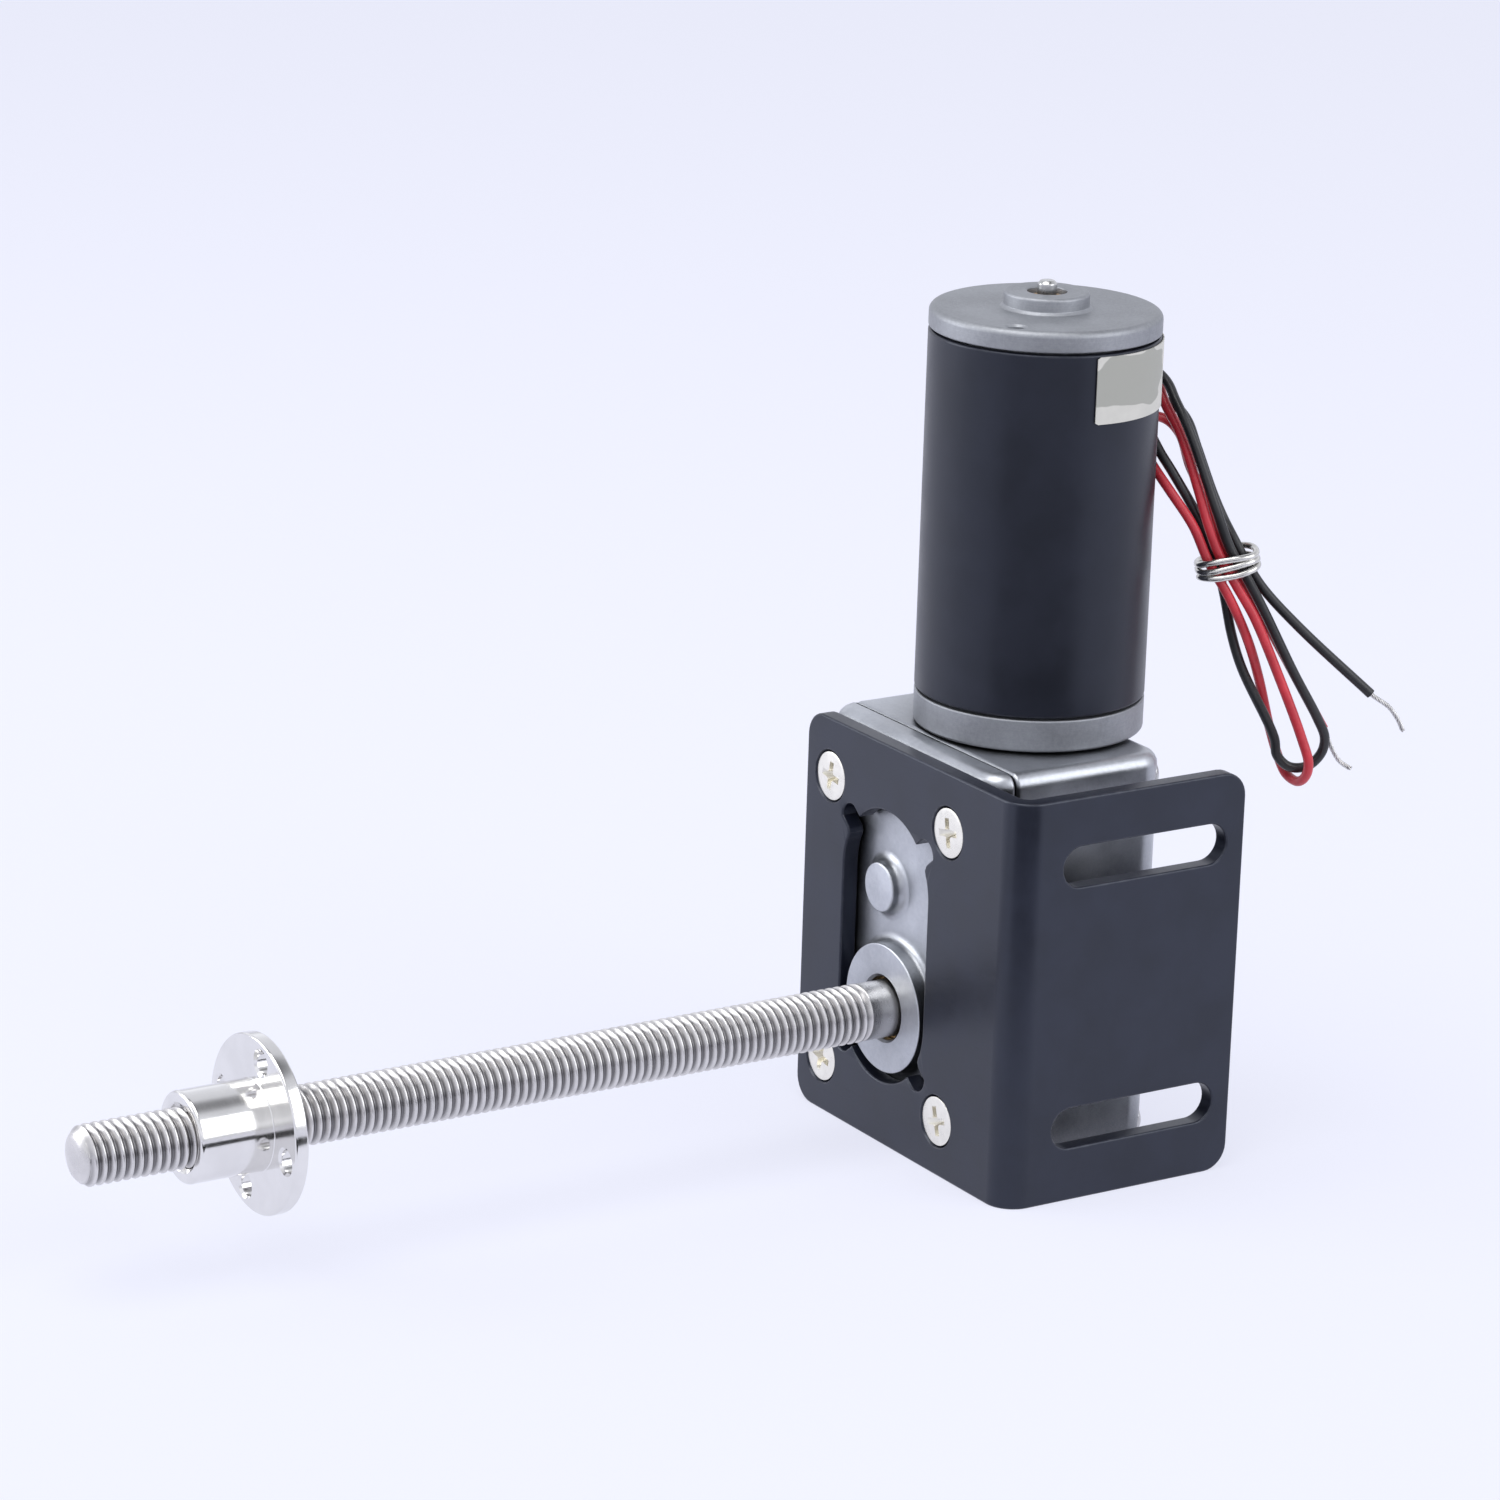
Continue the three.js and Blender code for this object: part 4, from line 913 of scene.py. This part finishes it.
def make_cover():
    cover = rounded_box("cast_cover", CASE_LOW, CASE_HIGH, 4.0, 2.0)
    slice_y(cover, COVER_REAR, -1, 0.4)
    output_boss = lathe("cutter", "y", SCREW_AXIS, [
        (0, 0.3), (8.95, 0.3, 0.22), (8.95, 1.9), (9.05, 2.3), (9.4, 2.62), (9.9, 2.78),
        (10.6, 2.82), (10.6, 4), (0, 4)], 128)
    small_boss = lathe("cutter", "y", (-3.0, 0, 35.2), [
        (0, 1.0), (3.45, 1.0, 0.3), (3.45, 1.7), (3.6, 2.2), (4.1, 2.62), (4.7, 2.79),
        (5.3, 2.82), (5.3, 4), (0, 4)], 96)
    add(cover, output_boss, small_boss)
    cut(cover,
        lathe("cutter", "y", SCREW_AXIS, [
            (0, -1), (4.75, -1), (4.75, 0.3), (4.4, 0.65), (4.4, 9), (0, 9)], 64),
        rod("y", SCREW_AXIS, BUSH_RADIUS, 1.6, 9),
        rod("y", FIRST_AXLE, FIRST_BORE, 3.7, 9),
        rod("y", SECOND_AXLE, SECOND_BORE, 2.2, 9),
        *[rod("y", place, 2.3, 0, 9) for place in BRACKET_SCREWS],
        *[rod("y", place, SCREW_BORE, 3.9, 9) for place in HOUSING_SCREWS])
    piece(cover, ZINC, "gear_motor", "zinc_casting", "gearbox_cover")


def make_housing():
    housing = rounded_box("cast_housing", CASE_LOW, CASE_HIGH, 4.0, 2.0)
    slice_y(housing, HOUSING_FRONT, 1, 0.6)
    cut(housing, box((WALL - 20, 0, WALL), (20 - WALL, CAVITY_REAR, CASE_HIGH[2] - WALL)))
    posts = [rod("y", place, 2.9, HOUSING_FRONT + 0.3, 30) for place in HOUSING_SCREWS]
    bosses = [rod("y", SCREW_AXIS, 7.4, 24.2, 30), rod("y", FIRST_AXLE, 3.2, 25.6, 30),
              rod("y", SECOND_AXLE, 3.4, 18.3, 30)]
    add(housing, *posts, *bosses)
    spots = [lathe("cutter", "y", place, [
        (0, 29.4), (2.9, 29.4), (2.9, 31.25), (3.15, 31.5), (3.2, 40), (0, 40)], 48)
        for place in HOUSING_SCREWS]
    marks = [lathe("cutter", "y", place, [
        (0, 31.15), (radius, 31.15), (radius + 0.25, 31.5), (radius + 0.3, 33), (0, 33)], 96)
        for place, radius in ((SCREW_AXIS, 7.6), (FIRST_AXLE, 3.0), (SECOND_AXLE, 3.2))]
    cut(housing,
        rod("y", SCREW_AXIS, BUSH_RADIUS, 20, 29.4),
        rod("y", FIRST_AXLE, FIRST_BORE, 20, 30.2),
        rod("y", SECOND_AXLE, SECOND_BORE, 10, 30),
        rod("z", MOTOR_AXIS, 5.3, 50, 60),
        *[rod("z", (x, MOTOR_AXIS[1], 0), SCREW_BORE, 50, 60) for x in (-9.5, 9.5)],
        *[rod("y", place, SCREW_BORE, 0, 40) for place in HOUSING_SCREWS],
        *spots, *marks)
    piece(housing, ZINC, "gear_motor", "zinc_casting", "gearbox_housing")


make_cover()
make_housing()


# ======== lead screw and nut ========

# One turn of the thread: shares of the lead and of the way from root to crest.
PHASES = [(0.0, 1.0), (0.08, 0.985), (0.135, 0.88), (0.36, 0.14), (0.42, 0.03), (0.5, 0.0),
          (0.58, 0.03), (0.64, 0.14), (0.865, 0.88), (0.92, 0.985)]


def thread(name, start, end, crest, root, segments, phase=0.0):
    """A right-handed thread along Y with rounded crests and roots, closed at both ends."""
    count = len(PHASES)
    turns = math.ceil((end - start) / LEAD) + 3
    first = start - 2 * LEAD + phase
    rows = [(turn + place, root + (crest - root) * share)
            for turn in range(turns) for place, share in PHASES]
    rows.append((turns, crest))
    bm = bmesh.new()
    columns = []
    for j in range(segments):
        column = []
        for place, radius in rows:
            up, right = around(2 * math.pi * j / segments, radius)
            along = first + LEAD * (place + j / segments)
            column.append(bm.verts.new(P(right, along, SCREW_HEIGHT + up)))
        columns.append(column)
    last = len(rows) - 1
    for j in range(segments):
        step = 0 if j < segments - 1 else count
        a, b = columns[j], columns[(j + 1) % segments]
        for k in range(last - step):
            bm.faces.new((a[k], b[k + step], b[k + 1 + step], a[k + 1]))
    low = [c[0] for c in columns] + [columns[0][k] for k in range(count, 0, -1)]
    high = [c[last] for c in columns] + [columns[-1][k] for k in
                                         range(last - 1, last - count - 1, -1)]
    for rim, place in ((low, first - LEAD), (high, first + LEAD * (turns + 2))):
        bridge(bm, rim, [bm.verts.new(P(0, place, SCREW_HEIGHT))])
    return new_object(name, bm)


def make_lead_screw():
    screw = thread("threaded_shaft", TIP, THREAD_END, CREST, ROOT, 48)
    boolean(screw, "INTERSECT", lathe("cutter", "y", SCREW_AXIS, [
        (0, TIP), (1.2, TIP + 0.04), (2.2, TIP + 0.18), (2.9, TIP + 0.42), (3.2, TIP + 0.66),
        (4.15, TIP + 1.65), (4.15, THREAD_END), (0, THREAD_END)], 72))
    add(screw, lathe("cutter", "y", SCREW_AXIS, [
        (0, THREAD_END - 0.9), (3.3, THREAD_END - 0.9), (3.9, THREAD_END, 0.2), (3.9, 20.2),
        (3.4, 20.2), (3.4, 21.4), (3.9, 21.4), (3.9, 28.2), (3.4, 28.7), (0, 28.7)], 72))
    piece(screw, STAINLESS, "output_shaft", "stainless_thread", "lead_screw", smooth=40,
          weighted=False)


def make_nut():
    hub, flange, bolt_circle = 6.0, 11.75, 9.1
    front, step, rear = -105.0, -94.8, -92.9
    nut = lathe("flanged_nut", "y", SCREW_AXIS, [
        (0, front), (hub, front, 0.5), (hub, step, 0.12), (flange, step, 0.3),
        (flange, rear, 0.3), (0, rear)], 128)
    holes = []
    for i in range(4):
        up, right = around(math.radians(13 + 90 * i), bolt_circle)
        holes.append(lathe("cutter", "y", (right, 0, SCREW_HEIGHT + up), [
            (0, step - 1), (1.9, step - 1), (1.9, step - 0.01), (1.5, step + 0.28),
            (1.5, rear - 0.28), (1.9, rear + 0.01), (1.9, rear + 1), (0, rear + 1)], 40))
    bore = boolean(
        thread("cutter", front - 3, rear + 3, CREST + 0.14, ROOT + 0.16, 40,
               (TIP - front + 3) % LEAD),
        "INTERSECT", rod("y", SCREW_AXIS, 5, front - 1, rear + 1, 32))
    mouths = [lathe("cutter", "y", SCREW_AXIS, [
        (0, end - out), (5.6, end - out), (3.5, end + 1.1 * out), (0, end + 1.1 * out)], 64)
        for end, out in ((front, 1), (rear, -1))]
    cut(nut, *holes, bore, *mouths)
    piece(nut, NICKEL, "nut", "nickel_plate", "flange_nut")


make_lead_screw()
make_nut()


# ======== motor ========

CAN_RADIUS, CAN_INNER, SPIGOT_RADIUS = 15.5, 14.3, 13.9
CAN_LOW, CAN_HIGH = 61.4, 110.5
LEAD_PLACES, LEAD_HEIGHT = (-3.9, -1.5), 103.8


def make_motor():
    front_cap = lathe("motor_base_ring", "z", MOTOR_AXIS, [
        (2, 54.7), (5, 54.7), (5, 56.7), (CAN_RADIUS, 56.7, 0.45), (CAN_RADIUS, 61.1, 0.25),
        (SPIGOT_RADIUS, 61.1), (SPIGOT_RADIUS, 63), (11.5, 63), (11.5, 61), (4.8, 61),
        (4.8, 64.8), (3.4, 64.8), (3.4, 60.9), (2, 60.9)], 128, closed=True)
    piece(front_cap, CAP_ZINC, "gear_motor", "zinc_casting", "motor_front_cap")

    can = lathe("motor_can_tube", "z", MOTOR_AXIS, [
        (CAN_INNER, CAN_LOW, 0.2), (CAN_RADIUS, CAN_LOW, 0.35), (CAN_RADIUS, CAN_HIGH, 0.35),
        (CAN_INNER, CAN_HIGH, 0.2)], 160, closed=True)
    cut(can, rounded_box("cutter", (-5.6, 30, 102.1), (0.2, 45, 105.5), 0.4, 0.6, 3, 3))
    piece(can, CAN_PAINT, "gear_motor", "black_paint", "motor_can")

    rear_cap = lathe("motor_end_cap", "z", MOTOR_AXIS, [
        (1.8, 109.3), (SPIGOT_RADIUS, 109.3), (SPIGOT_RADIUS, 110.8), (CAN_RADIUS, 110.8, 0.25),
        (CAN_RADIUS, 113.6, 0.9), (6.1, 113.6, 0.35), (5.7, 114.0, 0.2), (5.7, 115.8, 0.45),
        (2.65, 115.8, 0.2), (2.65, 112.2), (1.8, 112.2)], 128, closed=True, steps=6)
    dimple = lathe("cutter", "z", (8.2, 11.7, 0), [
        (0, 112.4), (0.9, 112.45), (1.15, 112.7), (1.2, 113.3), (1.5, 113.62), (1.55, 115),
        (0, 115)], 32)
    cut(rear_cap, dimple)
    piece(rear_cap, CAP_ZINC, "gear_motor", "zinc_casting", "motor_rear_cap")

    bearing = lathe("end_bearing", "z", MOTOR_AXIS, [
        (1.55, 112.5), (2.35, 112.5), (2.35, 115.1, 0.2), (1.55, 115.1, 0.25)], 64, closed=True)
    piece(bearing, BRONZE, "gear_motor", "bronze", "motor_rear_bearing")

    shaft = lathe("rotor_shaft", "z", MOTOR_AXIS, [
        (0, 39), (1.3, 39), (1.5, 39.2), (1.5, 110), (1.3, 110.2), (1.3, 116.8, 0.3),
        (0.9, 117.2, 0.3), (0, 117.3)], 64)
    piece(shaft, SHAFT_STEEL, "rotor", "steel", "motor_shaft")

    grommet = rounded_box("lead_bush", (-5.3, 36.2, 102.4), (-0.1, 38.4, 105.2), 0.5, 0.5, 4, 4)
    cut(grommet, *[rod("y", (x, 0, LEAD_HEIGHT), 0.72, 30, 45, 32) for x in LEAD_PLACES])
    piece(grommet, RUBBER, "gear_motor", "rubber", "lead_grommet")


make_motor()


# ======== label ========

LABEL_START, LABEL_END = math.radians(-9), math.radians(72)
LABEL_LOW, LABEL_HIGH = 101.2, 110.2
PAPER_RADIUS, PAPER_THICK = 15.58, 0.16


def label_material():
    """Pale paper with a plain grey printed patch."""
    material = finish("label_paper", (0.54, 0.53, 0.485), 0.0, 0.58, shade=0.04, blotch=3.0,
                      grain=0.12, grain_height=0.004)
    tree = material.node_tree
    right, back = around(LABEL_START + math.radians(25), PAPER_RADIUS + 0.02)
    local = from_place(tree, P(MOTOR_AXIS[0] + right, MOTOR_AXIS[1] + back, 106.6))
    shaped = node(tree, "VectorMath", {0: local, 1: (1 / 0.0088, 1 / 0.0088, 1 / 0.0038)},
                  operation="MULTIPLY").outputs[0]
    wavy = node(tree, "TexNoise", {"Vector": shaped, "Scale": 1.7, "Detail": 1.0}).outputs["Color"]
    moved = node(tree, "VectorMath", {0: shaped, 1: wavy}, operation="ADD").outputs[0]
    settled = node(tree, "VectorMath", {0: moved, 1: (0.5, 0.5, 0.5)}, operation="SUBTRACT")
    size = node(tree, "VectorMath", {0: settled.outputs[0]}, operation="LENGTH").outputs["Value"]
    inside = node(tree, "MapRange", {"Value": size, "From Min": 1.02, "From Max": 0.98}).outputs[0]
    overlay(material, inside, (0.335, 0.335, 0.30))
    return material


def make_label():
    across, up, corner = 48, 10, 0.25
    bm = bmesh.new()
    sheets = []
    for radius in (PAPER_RADIUS, PAPER_RADIUS + PAPER_THICK):
        rows = []
        for i in range(across + 1):
            share = i / across
            angle = LABEL_START + (LABEL_END - LABEL_START) * share
            from_end = min(share, 1 - share) * (LABEL_END - LABEL_START) * radius
            inset = corner - math.sqrt(max(0.0, corner ** 2 - max(0.0, corner - from_end) ** 2))
            lift = 0.10 * max(0.0, 1 - from_end / 1.5) ** 2
            right, back = around(angle, radius + lift)
            row = []
            for k in range(up + 1):
                z = LABEL_LOW + inset + (LABEL_HIGH - LABEL_LOW - 2 * inset) * k / up
                row.append(bm.verts.new(P(MOTOR_AXIS[0] + right, MOTOR_AXIS[1] + back, z)))
            rows.append(row)
        sheets.append(rows)
    inner, outer = sheets
    for i in range(across):
        for k in range(up):
            for rows in sheets:
                bm.faces.new((rows[i][k], rows[i + 1][k], rows[i + 1][k + 1], rows[i][k + 1]))
        for k in (0, up):
            bm.faces.new((inner[i][k], inner[i + 1][k], outer[i + 1][k], outer[i][k]))
    for k in range(up):
        for i in (0, across):
            bm.faces.new((inner[i][k], inner[i][k + 1], outer[i][k + 1], outer[i][k]))
    label = new_object("paper_label", bm)
    piece(label, label_material(), "gear_motor", "label_paper", "motor_label")


make_label()


# ======== pieces whose CAD shape stays ========

CARRIED = {
    BRONZE: ["front_bush", "rear_bush", "motor_front_bearing", "worm_wheel"],
    STEEL: ["front_spacer", "rear_washer", "retaining_ring", "first_axle_pin", "second_axle_pin",
            "first_pinion", "second_wheel", "second_pinion", "output_key", "output_gear", "worm",
            "motor_mount_screw_1", "motor_mount_screw_2"],
    PLATES: ["armature_core"],
    COPPER: [*[f"winding_{i}" for i in range(1, 6)], "commutator"],
    FERRITE: ["magnet_1", "magnet_2"],
    CARBON: ["brush_1", "brush_2"],
    PLASTIC: ["brush_holder"],
}
for material, names in CARRIED.items():
    for name in names:
        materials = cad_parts[name].data.materials
        materials.clear()
        materials.append(material)
